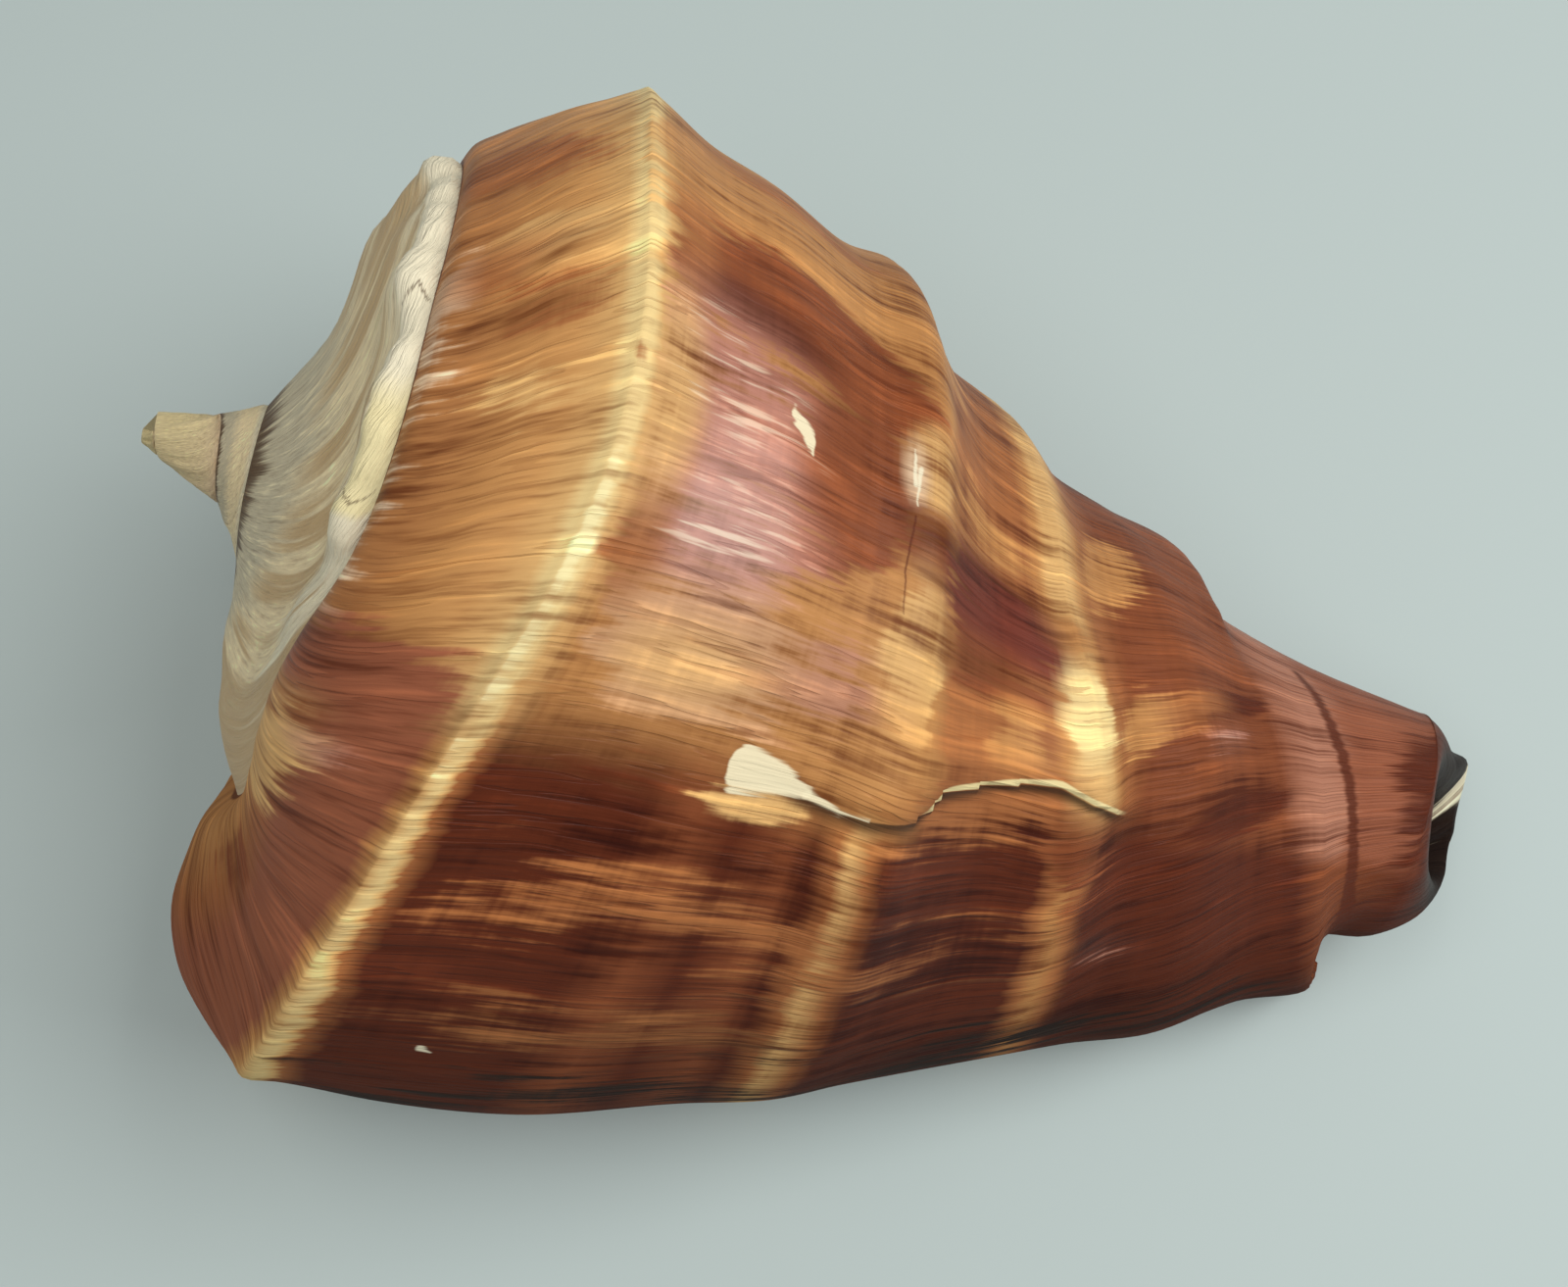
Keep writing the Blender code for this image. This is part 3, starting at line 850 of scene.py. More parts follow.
    def read(self, table: Array, shapes: Array, at: Array) -> Array:
        """Reads every row of a table of profiles at its own turn.

        Args:
            table: The turns of the profiles, evenly spaced.
            shapes: The profiles, as turns by rows by coordinates.
            at: The turns to read, as columns by rows.

        Returns:
            The coordinates, as columns by rows by coordinates.
        """
        steps = (at - table[0]) / self.table_turn
        left = np.clip(steps.astype(int), 0, len(table) - 2)
        part = (steps - left)[..., None]
        row = np.arange(len(self.rows))
        return shapes[left, row] * (1.0 - part) + shapes[left + 1, row] * part


class Pigment(Enum):
    """The shell's colours, in linear light."""

    ENAMEL = (0.88, 0.80, 0.58)
    IVORY = (0.88, 0.78, 0.52)
    CREAM = (0.80, 0.59, 0.26)
    STRAW = (0.68, 0.40, 0.15)
    AMBER = (0.60, 0.30, 0.10)
    SIENNA = (0.44, 0.185, 0.06)
    TAN = (0.49, 0.225, 0.072)
    RUST = (0.35, 0.125, 0.040)
    WINE = (0.30, 0.095, 0.045)
    CHESTNUT = (0.22, 0.060, 0.020)
    UMBER = (0.10, 0.019, 0.006)
    PLUM = (0.155, 0.032, 0.018)
    MAUVE = (0.46, 0.20, 0.14)
    ROSE = (0.42, 0.18, 0.11)
    HORN = (0.13, 0.075, 0.040)
    MOSS = (0.60, 0.53, 0.36)
    CHALK = (0.84, 0.76, 0.54)
    OLIVE = (0.88, 0.72, 0.43)
    BARK = (0.54, 0.36, 0.17)
    LEMON = (0.86, 0.74, 0.38)
    CLAY = (0.52, 0.28, 0.14)
    SAND = (0.76, 0.56, 0.37)
    # Near-black: laid as painted shade in the canal's pit, as a painted shadow under the ledge's edge, and
    # as painted shade with the dark growth by the lip
    PITCH = (0.018, 0.009, 0.006)


@dataclass(frozen=True)
class Blotch:
    """A patch of colour that the wall took on as it grew, or that wear laid bare.

    Attributes:
        pigment: Its colour.
        station: Its middle along the profile.
        turn: Its middle along the coil.
        wide: Half its width, in stations.
        long: Half its length, in turns.
        cover: How much of the wall it hides.
        edge: How soft its edge is, from 0 for crisp to 1.
        lean: How many turns it leans over in a station.
    """

    pigment: Pigment
    station: float
    turn: float
    wide: float
    long: float
    cover: float = 1.0
    edge: float = 0.75
    lean: float = 0.0

    def over(self, turn: Array, station: Array) -> Array:
        """How much it hides of some places.

        Args:
            turn: Their turns.
            station: Their stations.

        Returns:
            The part that is hidden of each.
        """
        across = (station - self.station) / self.wide
        along = (turn - self.turn - self.lean * (station - self.station)) / self.long
        return self.cover * (1.0 - ease(np.hypot(across, along), 1.0 - self.edge, 1.0 + self.edge))


BLOTCHES = (
    # The ramp above the keel
    Blotch(Pigment.RUST, 2.4, -0.398, 2.8, 0.016, 0.8),
    Blotch(Pigment.STRAW, 3.9, -0.358, 1.5, 0.010, 0.9, lean=-0.004),
    Blotch(Pigment.RUST, 2.2, -0.345, 2.0, 0.010, 0.8, lean=-0.006),
    Blotch(Pigment.RUST, 4.0, -0.330, 1.4, 0.009, 0.7, lean=-0.006),
    Blotch(Pigment.STRAW, 4.0, -0.300, 1.6, 0.012, 0.7, lean=-0.004),
    Blotch(Pigment.SAND, 0.8, -0.285, 0.9, 0.060, 0.5, 1.0),
    Blotch(Pigment.WINE, 3.0, -0.210, 3.0, 0.014, 0.95, lean=-0.002),
    Blotch(Pigment.STRAW, 1.9, -0.162, 1.5, 0.022, 0.85, lean=-0.008),
    Blotch(Pigment.MAUVE, 3.6, -0.185, 1.0, 0.005, 0.4, lean=-0.004),
    Blotch(Pigment.CHESTNUT, 2.4, -0.090, 1.0, 0.025, 0.7, lean=-0.02),
    Blotch(Pigment.LEMON, 7.2, -0.255, 0.5, 0.050, 0.75, 0.8),
    Blotch(Pigment.STRAW, 7.2, -0.390, 0.9, 0.030, 0.6),
    Blotch(Pigment.RUST, 7.0, -0.318, 0.6, 0.004, 0.6),
    # The panel between the keel and cord 2
    Blotch(Pigment.RUST, 10.0, -0.435, 1.8, 0.016, 0.7),
    Blotch(Pigment.CHESTNUT, 10.1, -0.362, 1.7, 0.020, 1.0, 0.5, lean=0.003),
    Blotch(Pigment.UMBER, 9.3, -0.353, 1.1, 0.008, 0.9, 0.5, lean=0.004),
    Blotch(Pigment.RUST, 8.5, -0.368, 0.4, 0.020, 0.9),
    Blotch(Pigment.MAUVE, 9.2, -0.324, 1.0, 0.024, 0.85, 0.8, lean=0.004),
    Blotch(Pigment.CHESTNUT, 10.8, -0.315, 0.7, 0.030, 0.95, 0.5),
    Blotch(Pigment.MAUVE, 9.3, -0.285, 0.9, 0.018, 0.9, 0.8, lean=0.002),
    Blotch(Pigment.RUST, 8.45, -0.268, 0.4, 0.014, 0.8),
    Blotch(Pigment.CLAY, 9.7, -0.246, 1.3, 0.016, 0.9),
    Blotch(Pigment.STRAW, 9.5, -0.243, 0.6, 0.009, 0.6),
    Blotch(Pigment.ROSE, 10.9, -0.248, 0.5, 0.016, 0.6),
    Blotch(Pigment.STRAW, 8.4, -0.312, 0.4, 0.026, 0.8),
    Blotch(Pigment.TAN, 8.4, -0.412, 0.6, 0.030, 0.7),
    Blotch(Pigment.STRAW, 10.55, -0.207, 0.4, 0.006, 0.95),
    # Cord 2
    Blotch(Pigment.CHESTNUT, 11.8, -0.302, 0.5, 0.010, 0.9),
    Blotch(Pigment.STRAW, 11.8, -0.330, 0.4, 0.012, 0.9),
    Blotch(Pigment.SAND, 11.45, -0.326, 0.16, 0.009, 0.8),
    Blotch(Pigment.STRAW, 11.8, -0.266, 0.5, 0.014, 0.9),
    Blotch(Pigment.STRAW, 11.8, -0.268, 0.4, 0.024, 0.85),
    Blotch(Pigment.AMBER, 11.75, -0.232, 0.4, 0.020, 0.6),
    # Between cord 2 and cord 3
    Blotch(Pigment.TAN, 13.4, -0.330, 1.3, 0.016, 0.6),
    Blotch(Pigment.TAN, 12.6, -0.405, 1.0, 0.040, 0.6),
    Blotch(Pigment.PLUM, 13.7, -0.296, 1.8, 0.018, 1.0, 0.5, lean=0.001),
    Blotch(Pigment.CHESTNUT, 13.4, -0.272, 1.4, 0.010, 0.8, lean=0.001),
    Blotch(Pigment.TAN, 14.2, -0.246, 0.5, 0.014, 0.8),
    Blotch(Pigment.RUST, 13.7, -0.220, 1.7, 0.016, 0.9, lean=-0.003),
    Blotch(Pigment.STRAW, 15.9, -0.236, 0.55, 0.020, 0.6),
    # Cord 3
    Blotch(Pigment.CREAM, 15.8, -0.268, 0.7, 0.020, 1.0, 0.6),
    Blotch(Pigment.TAN, 15.8, -0.303, 0.8, 0.012, 0.7),
    Blotch(Pigment.CHESTNUT, 15.8, -0.200, 0.8, 0.022, 0.8),
    # Below cord 3
    Blotch(Pigment.TAN, 17.1, -0.362, 0.6, 0.022, 0.9, lean=-0.03),
    Blotch(Pigment.TAN, 17.2, -0.274, 0.5, 0.014, 0.9, lean=-0.03),
    Blotch(Pigment.UMBER, 18.9, -0.325, 0.6, 0.012, 0.8, lean=-0.03),
    Blotch(Pigment.RUST, 18.1, -0.300, 0.5, 0.012, 0.8, lean=-0.03),
    Blotch(Pigment.MAUVE, 18.6, -0.290, 0.5, 0.008, 0.4, lean=-0.03),
    Blotch(Pigment.UMBER, 18.6, -0.240, 0.9, 0.020, 0.9, lean=-0.03),
    Blotch(Pigment.MAUVE, 16.9, -0.142, 0.5, 0.010, 0.3),
    # The canal's stub
    Blotch(Pigment.ROSE, 20.3, -0.262, 0.6, 0.03, 0.6, lean=-0.03),
    Blotch(Pigment.UMBER, 22.6, -0.33, 0.9, 0.10, 0.9),
    Blotch(Pigment.CHALK, 24.6, -0.60, 1.0, 0.06, 0.95, 0.3),
    Blotch(Pigment.UMBER, 22.0, -0.13, 1.6, 0.06, 0.8),
    Blotch(Pigment.RUST, 10.4, -0.168, 2.0, 0.016, 0.55, 1.0),
    Blotch(Pigment.RUST, 9.6, -0.118, 1.6, 0.012, 0.45, 1.0),
    Blotch(Pigment.RUST, 13.4, -0.150, 1.8, 0.014, 0.45, 1.0),
    # The dark last growth, by the lip, made darker still by painted shade where the wall faces down there
    Blotch(Pigment.PITCH, 12.5, -0.015, 5.0, 0.085, 0.55, 1.0),
    Blotch(Pigment.PITCH, 19.5, -0.015, 3.0, 0.085, 0.45, 1.0),
    # The older turns
    Blotch(Pigment.SAND, 2.0, -3.80, 6.0, 1.0, 1.0, 0.2),
    Blotch(Pigment.LEMON, 0.6, -4.10, 3.0, 1.2, 0.8, 0.6),
    Blotch(Pigment.CHALK, 3.2, -1.20, 0.8, 0.05, 0.9),
)


@dataclass(frozen=True)
class Mark:
    """A thin, crisp mark: a chip, a crack, a scratch, a painted glint or a line of painted shade.

    Attributes:
        pigment: Its colour.
        path: The (station, turn) places that it runs through.
        widths: Its width at each of them, in millimetres.
    """

    pigment: Pigment
    path: tuple[Pair, ...]
    widths: tuple[float, ...]


MARKS = (
    # The chip at the ledge, and its tail
    Mark(Pigment.IVORY, ((10.34, -0.2185), (10.66, -0.2165), (10.9, -0.2140)), (2.4, 1.7, 0.8)),
    Mark(Pigment.IVORY, ((10.9, -0.2140), (11.27, -0.2105), (11.6, -0.2110)), (0.8, 0.35, 0.12)),
    # Scratches and flecks where the panel is worn
    Mark(Pigment.IVORY, ((9.95, -0.3245), (10.16, -0.3185), (10.2, -0.3150)), (0.7, 1.1, 0.3)),
    Mark(Pigment.CHALK, ((11.40, -0.3330), (11.44, -0.3220)), (0.2, 0.5)),
    Mark(Pigment.CHALK, ((11.50, -0.3270), (11.48, -0.3140)), (0.5, 0.15)),
    Mark(Pigment.UMBER, ((11.45, -0.3100), (11.40, -0.2920), (11.46, -0.2760)), (0.25, 0.2, 0.1)),
    # A white fleck by the lip: a painted glint
    Mark(Pigment.ENAMEL, ((9.04, -0.1020), (9.12, -0.1000)), (0.5, 0.2)),
    # Cracks across the enamel, and its far end
    Mark(Pigment.HORN, ((3.27, -1.337), (3.69, -1.344), (3.96, -1.336)), (0.12, 0.22, 0.12)),
    Mark(Pigment.HORN, ((3.15, -1.262), (3.51, -1.257), (3.90, -1.262)), (0.12, 0.2, 0.12)),
    # The groove between the whorl and its canal, darkened with painted shade
    Mark(Pigment.UMBER, ((20.45, -0.42), (20.55, -0.33), (20.75, -0.26)), (0.3, 0.55, 0.5)),
    Mark(Pigment.UMBER, ((20.75, -0.26), (21.0, -0.19), (21.6, -0.13)), (0.5, 0.8, 1.6)),
)


# A pigment, the station where it is reached, and the one where it is left if it is held for a while
Band = tuple[Pigment, float] | tuple[Pigment, float, float]


@dataclass(frozen=True)
class Finish:
    """What the wall's colours are made of.

    Attributes:
        early: Bands along the profile before the ledge.
        late: Bands along it after the ledge, and so by the lip.
        spire: Bands along an older, worn turn.
        worn: The turns between which the old wear ends.
    """

    early: tuple[Band, ...] = (
        (Pigment.RUST, 0.0),
        (Pigment.SIENNA, 0.5, 2.2),
        (Pigment.TAN, 3.4),
        (Pigment.AMBER, 4.6),
        (Pigment.STRAW, 5.6),
        (Pigment.CREAM, 6.1, 7.6),
        (Pigment.STRAW, 8.0),
        (Pigment.TAN, 8.35, 12.3),
        (Pigment.RUST, 12.7, 14.7),
        (Pigment.TAN, 15.0),
        (Pigment.STRAW, 15.4, 16.2),
        (Pigment.TAN, 16.45),
        (Pigment.RUST, 16.7),
        (Pigment.CHESTNUT, 17.2, 19.4),
        (Pigment.ROSE, 20.0, 20.4),
        (Pigment.WINE, 20.7, 22.0),
        (Pigment.UMBER, 23.2),
        # Near-black from just before the canal's rim down into its pit: painted shade of the open canal
        (Pigment.PITCH, 24.3, 25.0),
    )
    late: tuple[Band, ...] = (
        (Pigment.TAN, 0.0, 1.4),
        (Pigment.RUST, 2.6),
        (Pigment.WINE, 3.6, 5.6),
        (Pigment.TAN, 6.2),
        (Pigment.STRAW, 6.8),
        (Pigment.CREAM, 7.5),
        (Pigment.STRAW, 7.8),
        (Pigment.RUST, 8.0),
        (Pigment.UMBER, 8.2, 9.7),
        (Pigment.CHESTNUT, 10.1),
        (Pigment.UMBER, 10.5),
        (Pigment.CHESTNUT, 10.9),
        (Pigment.UMBER, 11.15),
        (Pigment.RUST, 11.4),
        (Pigment.STRAW, 11.55),
        (Pigment.RUST, 11.8),
        (Pigment.UMBER, 12.0, 14.9),
        (Pigment.RUST, 15.3),
        (Pigment.TAN, 15.7),
        (Pigment.RUST, 16.1),
        (Pigment.UMBER, 16.4, 19.6),
        (Pigment.CHESTNUT, 20.2, 20.8),
        (Pigment.UMBER, 22.6),
        # Near-black from just before the canal's rim down into its pit: painted shade of the open canal
        (Pigment.PITCH, 24.4, 25.0),
    )
    spire: tuple[Band, ...] = (
        (Pigment.HORN, 0.0, 0.15),
        (Pigment.MOSS, 0.35, 0.9),
        (Pigment.OLIVE, 1.6, 2.6),
        (Pigment.CHALK, 3.3, 4.0),
    )
    worn: Pair = (-1.00, -0.93)

    def stain(self, turn: Array, station: Array) -> tuple[Array, Array]:
        """Lays the blotches over some places, one after another.

        Args:
            turn: The places' turns.
            station: Their stations.

        Returns:
            The blotches' colour and how much of the wall it hides, as RGBA, and the worn shine.
        """
        colour = np.tile(np.array(Pigment.TAN.value), (len(turn), 1))
        hidden, shine = np.zeros(len(turn)), np.zeros(len(turn))
        for blotch in BLOTCHES:
            over = blotch.over(turn, station)
            shine = np.maximum(shine, over) if blotch.pigment is Pigment.MAUVE else shine
            both = hidden + over * (1.0 - hidden)
            share = (over / np.maximum(both, 1e-6))[:, None]
            colour = colour * (1.0 - share) + np.array(blotch.pigment.value) * share
            hidden = both
        return np.concatenate((colour, hidden[:, None]), axis=1), shine


def maths(operation: str, reflected: bool = False) -> Callable[["Signal", "Signal | float"], "Signal"]:
    """Makes one of a signal's operators.

    Args:
        operation: The Math node's operation.
        reflected: Whether the signal stands on the right.

    Returns:
        The operator.
    """

    def operator(signal: "Signal", other: "Signal | float") -> "Signal":
        """Adds the Math node."""
        values = (other, signal) if reflected else (signal, other)
        return signal.graph.node("ShaderNodeMath", {"operation": operation}, dict(enumerate(values)))

    return operator


class Signal:
    """A number or a colour in a shader: a socket, with arithmetic for numbers."""

    __add__, __radd__ = maths("ADD"), maths("ADD", True)
    __sub__, __rsub__ = maths("SUBTRACT"), maths("SUBTRACT", True)
    __mul__, __rmul__ = maths("MULTIPLY"), maths("MULTIPLY", True)
    __truediv__ = maths("DIVIDE")
    lower = maths("MINIMUM")

    def __init__(self, graph: "Graph", socket: bpy.types.NodeSocket) -> None:
        """Keeps the graph and the socket."""
        self.graph = graph
        self.socket = socket

    def other(self, out: str) -> "Signal":
        """Another output of the same node."""
        return Signal(self.graph, self.socket.node.outputs[out])

    def smooth(self, start: float, end: float) -> "Signal":
        """A smooth rise from 0 at start to 1 at end."""
        sockets = {"Value": self, "From Min": start, "From Max": end}
        return self.graph.node("ShaderNodeMapRange", {"interpolation_type": "SMOOTHSTEP"}, sockets)

    def window(self, start: float, full: float, fading: float, end: float) -> "Signal":
        """A smooth rise to 1, and then a smooth fall back to 0."""
        return self.smooth(start, full) * (1.0 - self.smooth(fading, end))


class Graph:
    """The nodes of one material.

    Attributes:
        material: The material.
        surface: Its Principled BSDF.
    """

    def __init__(self, name: str) -> None:
        """Makes a new material.

        Args:
            name: Its name.
        """
        self.material = bpy.data.materials.new(name)
        self.material.use_nodes = True
        self.surface = self.material.node_tree.nodes["Principled BSDF"]

    def node(
        self, kind: str, settings: dict | None = None, sockets: dict | None = None, out: str | int = 0
    ) -> Signal:
        """Adds a node.

        Args:
            kind: The node's type.
            settings: Its properties, and under "stops" a colour ramp's (position, colour) pairs.
            sockets: Its inputs by name or number, each a value or a signal to link.
            out: The output that is wanted.

        Returns:
            That output.
        """
        node = self.material.node_tree.nodes.new(kind)
        for name, value in (settings or {}).items():
            if name == "stops":
                self.set_stops(node.color_ramp, value)
            else:
                setattr(node, name, value)
        for name, value in (sockets or {}).items():
            self.feed(node.inputs[name], value)
        return Signal(self, node.outputs[out])

    def feed(self, socket: bpy.types.NodeSocket, value: object) -> None:
        """Gives a socket its value.

        Args:
            socket: The socket.
            value: A signal to link, a pigment or a tint, or the value itself.
        """
        if isinstance(value, Signal):
            self.material.node_tree.links.new(value.socket, socket)
        elif isinstance(value, (Pigment, Tint)):
            socket.default_value = (*value.value, 1.0)
        else:
            socket.default_value = value

    def set_stops(self, ramp: bpy.types.ColorRamp, stops: list[tuple[float, Triple]]) -> None:
        """Sets a colour ramp's stops.

        Args:
            ramp: The ramp.
            stops: Its (position, colour) pairs, from left to right.
        """
        while len(ramp.elements) > 1:
            ramp.elements.remove(ramp.elements[-1])
        for number, (position, colour) in enumerate(stops):
            stop = ramp.elements[0] if number == 0 else ramp.elements.new(position)
            stop.position = position
            stop.color = (*colour, 1.0)

    def ramp(self, factor: Signal, stops: list[tuple[float, Triple]]) -> Signal:
        """A colour ramp."""
        return self.node("ShaderNodeValToRGB", {"stops": stops}, {"Fac": factor})

    def mix(self, factor: Signal | float, first: object, second: object, blend: str = "MIX") -> Signal:
        """Two colours mixed."""
        settings = {"data_type": "RGBA", "blend_type": blend, "clamp_result": True}
        return self.node("ShaderNodeMix", settings, {0: factor, 6: first, 7: second}, 2)

    def read(self, name: str, out: str = "Fac") -> Signal:
        """An attribute."""
        return self.node("ShaderNodeAttribute", {"attribute_name": name}, None, out)

    def curve(self, place: Signal, end: float, knots: tuple[Pair, ...], low: float, high: float) -> Signal:
        """A value read from straight lines between knots.

        Args:
            place: The place to read, between 0 and end.
            end: Where the last knot can be.
            knots: The (place, value) pairs.
            low: The lowest value.
            high: The highest value.

        Returns:
            The value.
        """
        marks = [(at / end, ((value - low) / (high - low),) * 3) for at, value in knots]
        return self.ramp(place / end, marks) * (high - low) + low

    def tapered(self, spot: Signal, start: Vector, end: Vector, widths: Pair) -> Signal:
        """How far a spot is outside a line that tapers.

        Args:
            spot: The spot.
            start: Where the line starts.
            end: Where it ends.
            widths: How wide it is there, in the spot's own unit.

        Returns:
            The distance from its edge, which is below 0 inside it.
        """
        run = end - start
        from_start = self.vector("SUBTRACT", {0: spot, 1: start})
        part = self.vector("DOT_PRODUCT", {0: from_start, 1: run / run.length_squared}, "Value")
        part = self.node("ShaderNodeClamp", None, {"Value": part})
        foot = self.vector("SCALE", {0: run, "Scale": part})
        gap = self.vector("DISTANCE", {0: from_start, 1: foot}, "Value")
        return gap - part * ((widths[1] - widths[0]) / 2.0) - widths[0] / 2.0

    def vector(self, operation: str, sockets: dict, out: str = "Vector") -> Signal:
        """Vector maths."""
        return self.node("ShaderNodeVectorMath", {"operation": operation}, sockets, out)

    def point(self, *parts: Signal | float) -> Signal:
        """A vector of three numbers."""
        return self.node("ShaderNodeCombineXYZ", None, dict(enumerate(parts)))

    def set(self, **sockets: object) -> None:
        """Feeds the surface's sockets, named with _ for a space."""
        for name, value in sockets.items():
            self.feed(self.surface.inputs[name.replace("_", " ")], value)


class Tint(Enum):
    """What the grains multiply the wall's colour by."""

    DARK = (0.37, 0.245, 0.19)
    LIGHT = (1.60, 1.60, 1.50)
    STROKE = (0.46, 0.32, 0.24)
    RING = (0.42, 0.26, 0.19)


class Grain(Enum):
    """The noises that streak the wall.

    Each is its grains' size across the growth lines and along them, in millimetres, then the layer of the
    noise that it reads and the noise's detail.
    """

    BROAD = (7.0, 18.0, 1.0, 3.0)
    STREAK = (1.6, 16.0, 5.0, 4.0)
    HAIR = (0.34, 9.0, 9.0, 2.0)
    SWATHE = (4.5, 45.0, 7.0, 2.0)
    SPIRAL = (45.0, 1.3, 3.0, 3.0)
    THREAD = (0.85, 26.0, 13.0, 2.0)
    SPECK = (0.7, 0.9, 31.0, 3.0)
    STROKE = (0.8, 15.0, 21.0, 3.0)


Blend = tuple[tuple[Grain, float], ...]


@dataclass
class Outside:
    """The outside: bands of colour along the profile, feathered and streaked by the growth lines.

    A span is two values between which something comes in smoothly, and a window is four: where it starts,
    is full, fades and ends. They are in turns or in stations, as each says, or in the grains' own values.

    Attributes:
        finish: Its pigments.
        wall: The wall that it covers.
        girth: A typical length of a turn, in millimetres, which gives the streaks their widths.
        roughness: The noises' roughness.
        feather: The grains that feather the bands' edges, in millimetres.
        since_span: How long after the ledge the late pigments come in, in millimetres, and since_feather
            is how much the grains feather that.
        ledge_turns: The turns that the whole ledge lies between.
        spire_feather: How far the grains feather the end of the old wear, in turns.
        fringe: The grains that feather the blotches' edges.
        cover_span: The span of a blotch's cover, and faint_span is that of its outermost edge.
        tone: The grains that make the wall darker or lighter.
        tone_base: How far they are shifted, and tone_span is their span.
        tone_ages: How much they count on the old turns, and how much more on fresh wall.
        spiral_stations: The span of stations in which spiral streaks come in, with spiral_share.
        speck_share: How much the specks count.
        stroke_span: The span of the dark strokes, and stroke_share is how much they count.
        ring_thin: How thin the dark rings are, and ring_edge is the span of their edge.
        ring_base: How far the streaks that they follow are shifted, and ring_span is their span.
        ring_ages: How strong the rings are on the old turns, and how much more on fresh wall.
        ring_share: How dark they are, and ring_depth is how deep.
        brown: The grains that make the brown patches on the old turns, and brown_span is their span.
        brown_stations: The patches' span in stations, brown_turns is their span in turns, and
            brown_share is how much they count.
        enamel_turns: The window of the enamel on the old seam, in turns.
        enamel_stations: Its span in stations, and enamel_ragged is how far the streaks move that.
        lemon_turns: The window in which it is yellow, in turns, and lemon_share is how yellow.
        seam_stations: The span of the dark line along the seam, in stations, and seam_ragged is how far
            the streaks move it.
        seam_base: How far the swathes that break it up are shifted, seam_span is their span, and
            seam_share is how dark it is.
        ledge_ragged: How far the streaks move the ledge's colours, in millimetres.
        rim_since: The window of the ledge's pale rim after the edge, in millimetres, rim_stations is its
            window in stations, and rim_share is how pale it is.
        ledge_shadow_since: The same for the painted shadow below it, with ledge_shadow_stations and
            ledge_shadow_share.
        mark_edge: The span of a mark's edge, in millimetres, mark_cover is how much it hides, and
            mark_ragged is how far the streaks move it.
        shine_turns: The span in turns in which the wall grows matt towards the lip.
        matt: How matt it is, how much more by the lip, and how much less where it is worn and where
            there is a streak.
        specular: How much it reflects.
        coat: The gloss over the worn places: how much of it, and how matt.
        bump: How strong the fine relief is, and how deep, in metres.
        bumps: The grains that it is made of.
        scuffs_and_glints: The grains that streak the worn, shiny places pale, partly scuffs and partly
            painted glints, and
                    scuff_and_glint_span is their span.
        scuff_and_glint_shares: How much the shine adds to them, and how pale they are.
    """

    finish: Finish
    wall: Wall
    girth: float = 160.0
    roughness: float = 0.55
    feather: Blend = ((Grain.STREAK, 2.6), (Grain.HAIR, 1.2), (Grain.BROAD, 2.0))
    since_span: Pair = (-2.0, 3.0)
    since_feather: float = 1.3
    ledge_turns: Pair = (-0.25, -0.20)
    spire_feather: float = 0.01
    fringe: Blend = ((Grain.BROAD, 1.0), (Grain.STREAK, 2.0), (Grain.HAIR, 1.0), (Grain.SPIRAL, 0.3))
    cover_span: Pair = (0.28, 0.72)
    faint_span: Pair = (0.0, 0.2)
    tone: Blend = ((Grain.BROAD, 0.8), (Grain.STREAK, 2.0), (Grain.HAIR, 1.3), (Grain.SWATHE, 1.6))
    tone_base: float = -0.02
    tone_span: Pair = (0.0, 0.7)
    tone_ages: Pair = (0.5, 0.5)
    spiral_stations: Pair = (6.5, 8.5)
    spiral_share: float = 0.5
    speck_share: float = 2.0
    stroke_span: Pair = (0.07, 0.2)
    stroke_share: float = 0.6
    ring_thin: float = 900.0
    ring_edge: Pair = (0.0, 0.8)
    ring_base: float = 0.1
    ring_span: Pair = (-0.1, 0.3)
    ring_ages: Pair = (0.2, 0.8)
    ring_share: float = 0.4
    brown: Blend = ((Grain.BROAD, 1.6), (Grain.SWATHE, 0.8), (Grain.STREAK, 0.5))
    brown_span: Pair = (-0.06, 0.10)
    brown_stations: Pair = (0.9, 1.5)
    brown_turns: Pair = (-1.75, -1.6)
    brown_share: float = 0.85
    enamel_turns: Quad = (-1.54, -1.48, -1.235, -1.215)
    enamel_stations: Pair = (3.15, 3.25)
    enamel_ragged: float = 0.35
    lemon_turns: Quad = (-1.31, -1.29, -1.255, -1.25)
    lemon_share: float = 0.8
    seam_stations: Pair = (0.14, 0.26)
    seam_ragged: float = 0.15
    seam_base: float = 0.4
    seam_span: Pair = (0.1, 0.4)
    seam_share: float = 0.85
    ledge_ragged: float = 0.5
    rim_since: Quad = (-0.58, -0.42, -0.12, -0.02)
    rim_stations: Quad = (12.3, 12.5, 16.3, 16.9)
    rim_share: float = 0.85
    # The painted shadow below the ledge's edge
    ledge_shadow_since: Quad = (-0.05, 0.1, 0.2, 1.1)
    ledge_shadow_stations: Quad = (10.3, 11.0, 16.3, 17.2)
    ledge_shadow_share: float = 0.8
    mark_edge: Pair = (-0.15, 0.1)
    mark_cover: float = 0.9
    mark_ragged: float = 0.7
    shine_turns: Pair = (-0.2, -0.07)
    matt: Quad = (0.46, 0.45, 0.2, 0.2)
    specular: float = 0.14
    coat: Pair = (0.5, 0.2)
    bump: Pair = (0.7, 0.0003)
    bumps: Blend = ((Grain.STREAK, 0.8), (Grain.HAIR, 0.45))
    ring_depth: float = 0.25
    # Pale streaks on the worn, shiny places: partly scuffs, partly painted glints
    scuffs_and_glints: Blend = ((Grain.HAIR, 1.0), (Grain.STREAK, 0.6))
    scuff_and_glint_span: Pair = (0.22, 0.36)
    scuff_and_glint_shares: Pair = (0.25, 0.5)

